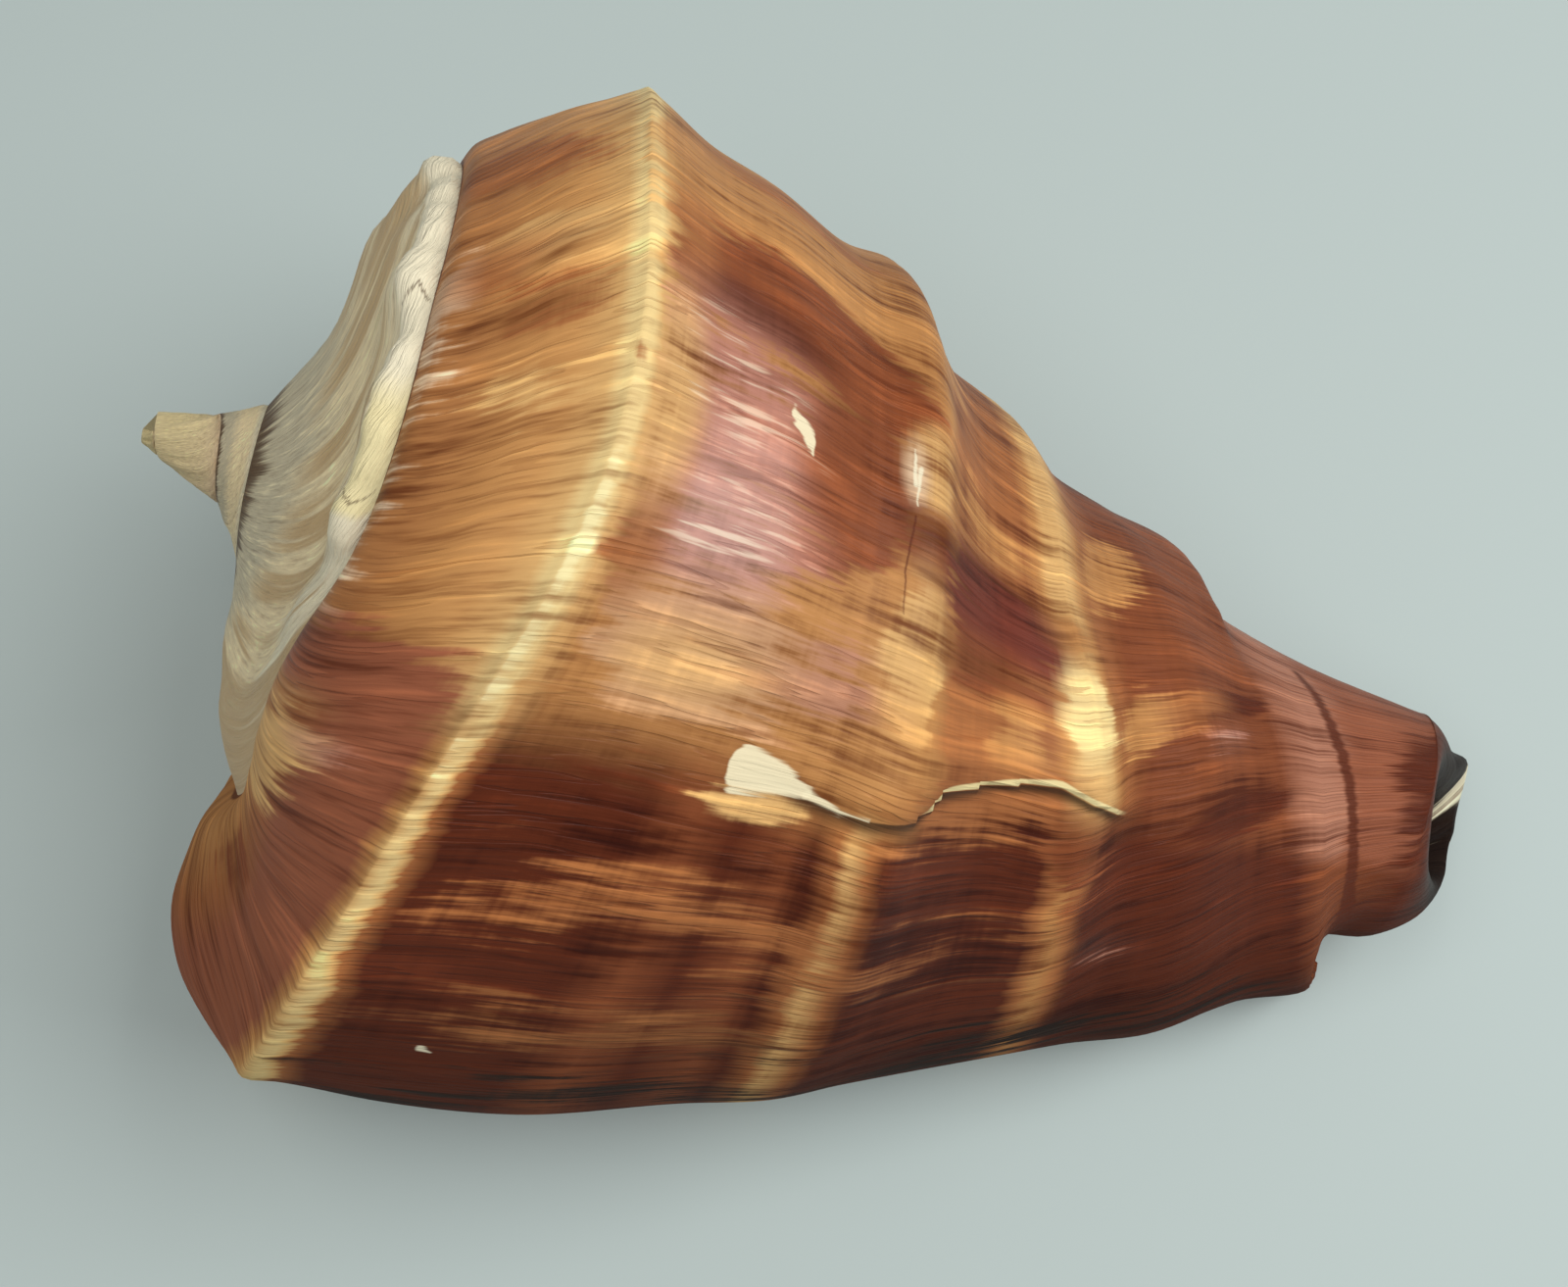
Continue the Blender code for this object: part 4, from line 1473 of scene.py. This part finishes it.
    def material(self) -> bpy.types.Material:
        """Makes the material.

        Returns:
            The material, which reads the growth map and what the piece stores at its faces' corners.
        """
        graph = self.graph = Graph("shell_outside")
        growth = graph.node("ShaderNodeUVMap", {"uv_map": GROWTH_MAP})
        line = graph.node("ShaderNodeSeparateXYZ", None, {"Vector": growth})
        self.around = (line * (LAST_TURN - FIRST_TURN) + FIRST_TURN) * self.girth
        self.length = line.other("Y") * (2.0 * self.wall.knots[-1])
        self.turn, self.station, self.shine = (graph.read(name) for name in (TURN, STATION, SHINE))
        self.fresh = self.turn.smooth(*self.finish.worn)
        self.noise = {grain: self.grain(grain) for grain in Grain}
        self.streak, self.hair = self.noise[Grain.STREAK], self.noise[Grain.HAIR]
        self.specks = self.noise[Grain.SPECK] * (1.0 - self.fresh)
        self.rings = self.growth_rings()
        colour = self.toned(self.stained(self.bands(self.blend(self.feather))))
        colour = self.marked(self.ledge_rim(self.weathered(colour)))
        # Pale streaks on the worn, shiny places: partly scuffs, partly painted glints
        more, pale = self.scuff_and_glint_shares
        scuffs_and_glints = (self.blend(self.scuffs_and_glints) + self.shine * more).smooth(*self.scuff_and_glint_span) * self.shine
        graph.set(Base_Color=graph.mix(scuffs_and_glints * pale, colour, Pigment.ENAMEL))
        self.surface()
        return graph.material

    def grain(self, grain: Grain) -> Signal:
        """Adds one of the noises.

        Args:
            grain: Which one.

        Returns:
            Its value, moved to lie round 0.
        """
        across, along, layer, detail = grain.value
        spot = self.graph.point(self.around / across, self.length / along, layer)
        sockets = {"Vector": spot, "Scale": 1.0, "Detail": detail, "Roughness": self.roughness}
        return self.graph.node("ShaderNodeTexNoise", None, sockets) - 0.5

    def blend(self, weights: Blend) -> Signal:
        """A weighted sum of grains."""
        first, *others = (self.noise[grain] * weight for grain, weight in weights)
        return sum(others, first)

    def growth_rings(self) -> Signal:
        """The thin dark rings where growth rested, strongest along the streaks.

        Returns:
            How dark they are, from 0 to 1.
        """
        thread, (old, more) = self.noise[Grain.THREAD], self.ring_ages
        thin = (1.0 - thread * thread * self.ring_thin).smooth(*self.ring_edge)
        return thin * (self.streak + self.ring_base).smooth(*self.ring_span) * (self.fresh * more + old)

    def stops(self, bands: tuple[Band, ...]) -> list[tuple[float, Triple]]:
        """A colour ramp's stops.

        Args:
            bands: The bands along the profile.

        Returns:
            A (position, colour) pair for each end of each band.
        """
        ends = [(station, pigment.value) for pigment, *held in bands for station in held]
        places = self.wall.length(np.array([station for station, _ in ends])) / self.wall.knots[-1]
        return [(float(place), colour) for place, (_, colour) in zip(places, ends)]

    def bands(self, feather: Signal) -> Signal:
        """The colour along the profile: before the ledge, after it, and on the old turns.

        Args:
            feather: How far the bands' edges are moved, in millimetres.

        Returns:
            The colour.
        """
        graph, finish = self.graph, self.finish
        place = (self.length + feather) / self.wall.knots[-1]
        ages = (finish.early, finish.late, finish.spire)
        early, late, spire = (graph.ramp(place, self.stops(bands)) for bands in ages)
        edge = graph.curve(self.station, Station.CANAL_END, self.wall.relief.ledge, *self.ledge_turns)
        self.since = (self.turn - edge) * self.girth
        after = (self.since + feather * self.since_feather).smooth(*self.since_span)
        colour = graph.mix(after, early, late)
        return graph.mix((self.turn + feather * self.spire_feather).smooth(*finish.worn), spire, colour)

    def stained(self, colour: Signal) -> Signal:
        """The blotches, with edges that the growth lines feather.

        Args:
            colour: The colour below them.

        Returns:
            The colour with them.
        """
        stain = self.graph.read(STAIN, "Color")
        hidden = stain.other("Alpha")
        cover = (hidden + self.blend(self.fringe)).smooth(*self.cover_span) * hidden.smooth(*self.faint_span)
        return self.graph.mix(cover, colour, stain)

    def toned(self, colour: Signal) -> Signal:
        """The streaks: darker and lighter wall, dark strokes, and the growth rings.

        Args:
            colour: The colour below them.

        Returns:
            The colour with them.
        """
        graph, (old, more) = self.graph, self.tone_ages
        share = self.fresh * more + old
        spiral = self.noise[Grain.SPIRAL] * self.spiral_share * self.station.smooth(*self.spiral_stations)
        tone = self.blend(self.tone) * share + self.tone_base + spiral + self.specks * self.speck_share
        colour = graph.mix((0.0 - tone).smooth(*self.tone_span) * share, colour, Tint.DARK, "MULTIPLY")
        colour = graph.mix(tone.smooth(*self.tone_span), colour, Tint.LIGHT, "MULTIPLY")
        strokes = self.noise[Grain.STROKE].smooth(*self.stroke_span) * self.fresh
        colour = graph.mix(strokes * self.stroke_share, colour, Tint.STROKE, "MULTIPLY")
        return graph.mix(self.rings * self.ring_share, colour, Tint.RING, "MULTIPLY")

    def weathered(self, colour: Signal) -> Signal:
        """The old turns' brown patches, the enamel along their seam, and the line of the seam itself.

        Args:
            colour: The colour below them.

        Returns:
            The colour with them.
        """
        graph, old = self.graph, 1.0 - self.fresh
        brown = self.blend(self.brown).smooth(*self.brown_span) * old
        brown = brown * self.station.smooth(*self.brown_stations) * self.turn.smooth(*self.brown_turns)
        colour = graph.mix(brown * self.brown_share, colour, Pigment.BARK)
        enamel = self.turn.window(*self.enamel_turns) * old
        enamel = enamel * (self.station + self.streak * self.enamel_ragged).smooth(*self.enamel_stations)
        yellow = self.turn.window(*self.lemon_turns) * self.lemon_share
        coat = graph.mix(yellow, Pigment.ENAMEL, Pigment.LEMON)
        colour = graph.mix(enamel, colour, coat)
        seam = 1.0 - (self.station + self.streak * self.seam_ragged).smooth(*self.seam_stations)
        broken = (self.noise[Grain.SWATHE] + self.seam_base).smooth(*self.seam_span)
        return graph.mix(seam * self.fresh * broken * self.seam_share, colour, Pigment.UMBER)

    def ledge_rim(self, colour: Signal) -> Signal:
        """The ledge's pale broken edge, and a painted shadow below it.

        Args:
            colour: The colour below them.

        Returns:
            The colour with them.
        """
        since = self.since + self.streak * self.ledge_ragged
        rim = since.window(*self.rim_since) * self.station.window(*self.rim_stations)
        # A painted shadow below the ledge's edge, laid in near-black
        painted_shadow = since.window(*self.ledge_shadow_since) * self.station.window(*self.ledge_shadow_stations)
        colour = self.graph.mix(painted_shadow * self.ledge_shadow_share, colour, Pigment.PITCH)
        return self.graph.mix(rim * self.rim_share, colour, Pigment.LEMON)

    def marked(self, colour: Signal) -> Signal:
        """The crisp marks.

        Args:
            colour: The colour below them.

        Returns:
            The colour with them.
        """
        graph = self.graph
        along = self.length + self.streak * self.mark_ragged
        spot = graph.point(along, self.turn * self.girth + self.hair)
        for mark in MARKS:
            stations, turns = np.array(mark.path).T
            places = [Vector((x, y, 0.0)) for x, y in zip(self.wall.length(stations), turns * self.girth)]
            ends = zip(places, places[1:], zip(mark.widths, mark.widths[1:]))
            gaps = [graph.tapered(spot, *end) for end in ends]
            outside = functools.reduce(Signal.lower, gaps)
            cover = self.mark_cover - outside.smooth(*self.mark_edge) * self.mark_cover
            colour = graph.mix(cover, colour, mark.pigment)
        return colour

    def surface(self) -> None:
        """The surface's gloss and fine relief: duller by the lip, glossier where the wall is worn."""
        matt, by_lip, worn, streaked = self.matt
        dull = self.turn.smooth(*self.shine_turns) * by_lip * self.fresh
        height = self.blend(self.bumps) - self.rings * self.ring_depth + self.specks
        strength, depth = self.bump
        sockets = {"Strength": strength, "Distance": depth, "Height": height}
        self.graph.set(Roughness=dull + matt - self.shine * worn - self.streak * streaked)
        self.graph.set(Normal=self.graph.node("ShaderNodeBump", None, sockets))
        glossy, coat_matt = self.coat
        self.graph.set(Coat_Weight=self.shine * glossy, Coat_Roughness=coat_matt)
        self.graph.set(Specular_IOR_Level=self.specular)


def inside_material() -> bpy.types.Material:
    """Makes the inside's finish, a pale glaze.

    Returns:
        The material.
    """
    graph = Graph("shell_inside")
    graph.set(Base_Color=(0.80, 0.70, 0.56, 1.0), Roughness=0.2)
    return graph.material


@dataclass
class ShellPiece:
    """Makes the shell's mesh, lays it on the table and fits it to the frame.

    Attributes:
        wall: The wall that it is made of.
        finish: What its colours are worked out from.
        node: The frame's node that it replaces.
        weld: How near to each other points are sewn together, in metres.
        crease: The angle above which an edge stays sharp, in degrees.
    """

    wall: Wall
    finish: Finish
    node: str = "shell"
    weld: float = 1.5e-6
    crease: float = 50.0

    def lie(self) -> Matrix:
        """Works out how the coil's frame is turned to lie on the table.

        Returns:
            The turn that makes +Z up, and +X the way from the spire to the canal.
        """
        up = -Vector(self.wall.table_down).normalized()
        along = Vector((1.0, 0.0, 0.0))
        along = (along - up * along.dot(up)).normalized()
        return Matrix((along, up.cross(along), up))

    def fit(self, sheets: list[Array]) -> None:
        """Finds how the coil's frame, once laid down, moves into the frame's box.

        Args:
            sheets: All the shell's places, in the coil's frame.
        """
        laid = [sheet.reshape(-1, 3) @ np.array(self.lie()).T for sheet in sheets]
        low = np.min([sheet.min(axis=0) for sheet in laid], axis=0)
        high = np.max([sheet.max(axis=0) for sheet in laid], axis=0)
        self.box = np.array(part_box(self.node))
        self.base = np.array([*((low + high) / 2.0)[:2], low[2] + self.wall.wear])
        self.centre = np.array([*self.box.mean(axis=0)[:2], self.box[0, 2]])
        own, kept = high - low, (self.box[1] - self.box[0]) / MM
        log.info("own size %s mm, the frame's %s mm", np.round(own, 2), np.round(kept, 2))

    def on_table(self, places: Array) -> Array:
        """Coil-frame places in the frame, in metres."""
        return self.centre + (places @ np.array(self.lie()).T - self.base) * MM

    def sheets(self) -> list[tuple[Array, Array, Array]]:
        """Works out the sheets that the shell is sewn from, with shared edges in the same places.

        Returns:
            The last whorl, the older turns and the hollow, each as its places in the coil's frame, its
            columns' turns and its rows' stations.
        """
        wall = self.wall
        whorl, whorl_turns = wall.last_whorl()
        older, older_turns = wall.older_turns()
        seam = wall.seam_row
        inner_seam = np.concatenate((older[:, 0], whorl[:, 0]))
        older[:, seam] = inner_seam[wall.steps : wall.steps + len(older)]
        whorl[0, : seam + 1] = older[-1]
        whorl[-1, 0] = whorl[0, seam]
        spire = (older, older_turns, wall.rows[: seam + 1])
        return [(whorl, whorl_turns, wall.rows), spire, wall.hollow(whorl[-1], whorl[0])]

    def grid(self, places: Array, turns: Array, stations: Array) -> bpy.types.Object:
        """Adds a grid primitive and moves its points to their places.

        Args:
            places: Columns by rows by (X, Y, Z), in metres.
            turns: Each column's turn.
            stations: Each row's station.

        Returns:
            The sheet, with what the finish reads.
        """
        columns, rows = places.shape[:2]
        bpy.ops.mesh.primitive_grid_add(x_subdivisions=columns - 1, y_subdivisions=rows - 1, size=2.0)
        sheet = bpy.context.object
        mesh = sheet.data
        flat = np.empty(3 * len(mesh.vertices))
        mesh.vertices.foreach_get("co", flat)
        spots = (flat.reshape(-1, 3)[:, :2] + 1.0) / 2.0
        column = np.round(spots[:, 0] * (columns - 1)).astype(int)
        row = np.round(spots[:, 1] * (rows - 1)).astype(int)
        mesh.vertices.foreach_set("co", places[column, row].ravel())
        self.colour(mesh, turns[column], stations[row])
        return sheet

    def colour(self, mesh: bpy.types.Mesh, turn: Array, station: Array) -> None:
        """Stores what the finish reads at each face's corners, so that sheets keep their own once sewn.

        Args:
            mesh: A sheet's mesh.
            turn: The turn of each of its points.
            station: The station of each of them.
        """
        corners = self.corners(mesh)
        stain, shine = self.finish.stain(turn, station)
        for name, values in ((TURN, turn), (STATION, station), (SHINE, shine)):
            mesh.attributes.new(name, "FLOAT", "CORNER").data.foreach_set("value", values[corners])
        store = mesh.attributes.new(STAIN, "FLOAT_COLOR", "CORNER")
        store.data.foreach_set("color", stain[corners].ravel())
        across = (self.wall.growth.growth_line(turn, station) - FIRST_TURN) / (LAST_TURN - FIRST_TURN)
        along = self.wall.length(station) / (2.0 * self.wall.knots[-1])
        mesh.uv_layers.active.name = GROWTH_MAP
        growth = np.stack((across, along), axis=1)[corners]
        mesh.uv_layers.active.uv.foreach_set("vector", growth.ravel())

    def corners(self, mesh: bpy.types.Mesh) -> Array:
        """Reads which point each corner of a face is at.

        Args:
            mesh: The mesh.

        Returns:
            The points' numbers, in the order of the corners.
        """
        corners = np.empty(len(mesh.loops), int)
        mesh.loops.foreach_get("vertex_index", corners)
        return corners

    def build(self) -> bpy.types.Object:
        """Makes the shell as one closed piece: two sheets for the outside and one for the inside, sewn up.

        Returns:
            The piece.
        """
        sheets = self.sheets()
        self.fit([places for places, _, _ in sheets])
        outer, inner = Outside(self.finish, self.wall).material(), inside_material()
        made = []
        for (places, turns, stations), material in zip(sheets, (outer, outer, inner)):
            made.append(self.grid(np.clip(self.on_table(places), *self.box), turns, stations))
            made[-1].data.materials.append(material)
        shell = self.sew(made)
        shell.name = "shell_visual"
        self.mend(shell.data)
        bpy.ops.object.shade_smooth_by_angle(angle=math.radians(self.crease))
        return shell

    def sew(self, sheets: list[bpy.types.Object]) -> bpy.types.Object:
        """Joins the sheets, sews up the edges that they share, and closes the holes that are left.

        Args:
            sheets: The sheets. The others join the first.

        Returns:
            The closed piece.
        """
        bpy.ops.object.select_all(action="DESELECT")
        for sheet in sheets:
            sheet.select_set(True)
        bpy.context.view_layer.objects.active = sheets[0]
        bpy.ops.object.join()
        bpy.ops.object.mode_set(mode="EDIT")
        steps = (
            (bpy.ops.mesh.remove_doubles, {"threshold": self.weld}),
            (bpy.ops.mesh.fill_holes, {"sides": 0}),
            (bpy.ops.mesh.normals_make_consistent, {"inside": False}),
        )
        for step, settings in steps:
            bpy.ops.mesh.select_all(action="SELECT")
            step(**settings)
        bpy.ops.object.mode_set(mode="OBJECT")
        return sheets[0]

    def mend(self, mesh: bpy.types.Mesh) -> None:
        """Gives the faces that closed a hole what the faces beside them hold at each corner.

        Args:
            mesh: The sewn mesh.
        """
        corners = self.corners(mesh)
        stores = [(mesh.attributes[name].data, "value", 1) for name in (TURN, STATION, SHINE)]
        stores.append((mesh.attributes[STAIN].data, "color", 4))
        stores.append((mesh.uv_layers[GROWTH_MAP].uv, "vector", 2))
        kept = []
        for store, field, width in stores:
            values = np.empty(len(corners) * width)
            store.foreach_get(field, values)
            kept.append(values.reshape(-1, width))
        bare = (kept[0][:, 0] == 0.0) & (kept[1][:, 0] == 0.0)
        for (store, field, width), values in zip(stores, kept):
            held = np.zeros((len(mesh.vertices), width))
            held[corners[~bare]] = values[~bare]
            values[bare] = held[corners[bare]]
            store.foreach_set(field, values.ravel())


@dataclass
class Studio:
    """The table, the lights and the camera. Lengths are in metres where it isn't said.

    Attributes:
        eye: Where the camera stands in the coil's frame, in millimetres.
        turn: The camera's Euler angles, in radians.
        lens: Its focal length, in millimetres.
        sensor: Its sensor's width, in millimetres.
        nearest: The nearest that it sees.
        side: The floor's side.
        floor_colour: The floor's colour, in linear light.
        floor_roughness: How matt it is.
        lamps: The soft lamps: place, side and power in watts.
        sky: The strength of the white light from all round.
    """

    eye: Triple = (25.16, 4.76, 124.49)
    turn: Triple = (0.3735, 0.0024, 0.2350)
    lens: float = 42.975
    sensor: float = 36.0
    nearest: float = 0.005
    side: float = 3.0
    floor_colour: Quad = (0.48, 0.56, 0.54, 1.0)
    floor_roughness: float = 0.7
    lamps: tuple[tuple[Triple, float, float], ...] = (
        ((0.30, 0.06, 0.40), 0.35, 1.80),
        ((-0.08, -0.10, 0.48), 0.35, 0.78),
    )
    sky: float = 0.26

    def table(self) -> bpy.types.Object:
        """Adds a plain pale floor at the height the shell rests on.

        Returns:
            The floor.
        """
        bpy.ops.mesh.primitive_plane_add(size=self.side)
        floor = bpy.context.object
        floor.name = "floor"
        graph = Graph("floor")
        graph.set(Base_Color=self.floor_colour, Roughness=self.floor_roughness)
        floor.data.materials.append(graph.material)
        return floor

    def lamp(self, place: Triple, size: float, power: float) -> bpy.types.Object:
        """Adds a soft area light that faces the shell.

        Args:
            place: Where it hangs.
            size: Its side.
            power: Its power, in watts.

        Returns:
            The lamp.
        """
        bpy.ops.object.light_add(type="AREA", location=place)
        lamp = bpy.context.object
        lamp.data.size = size
        lamp.data.energy = power
        lamp.rotation_euler = (-Vector(place)).to_track_quat("-Z", "Y").to_euler()
        return lamp

    def camera(self, place: Array) -> bpy.types.Object:
        """Adds the camera, which looks down at the shell.

        Args:
            place: Where it stands.

        Returns:
            The camera.
        """
        bpy.ops.object.camera_add(location=place, rotation=self.turn)
        camera = bpy.context.object
        camera.data.lens = self.lens
        camera.data.sensor_width = self.sensor
        camera.data.clip_start = self.nearest
        bpy.context.scene.camera = camera
        return camera

    def daylight(self) -> None:
        """Lights the scene evenly from all round, and shows its colours as they are."""
        world = bpy.context.scene.world or bpy.data.worlds.new("studio")
        bpy.context.scene.world = world
        world.use_nodes = True
        background = world.node_tree.nodes["Background"]
        background.inputs["Color"].default_value = (1.0, 1.0, 1.0, 1.0)
        background.inputs["Strength"].default_value = self.sky
        bpy.context.scene.view_settings.view_transform = "Standard"


def main() -> None:
    """Builds the shell, its finish and the studio, and says what each is."""
    logging.basicConfig(level=logging.INFO)
    piece = ShellPiece(Wall(Growth()), Finish())
    shell = piece.build()
    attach(shell, "root")
    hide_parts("shell")
    log.info("%s has %d faces", shell.name, len(shell.data.polygons))
    bpy.ops.object.select_all(action="DESELECT")
    studio = Studio()
    log.info("%s is laid", studio.table().name)
    for lamp in studio.lamps:
        log.info("%s is hung", studio.lamp(*lamp).name)
    log.info("%s is placed", studio.camera(piece.on_table(np.array(studio.eye))).name)
    studio.daylight()


if __name__ == "__main__":
    main()
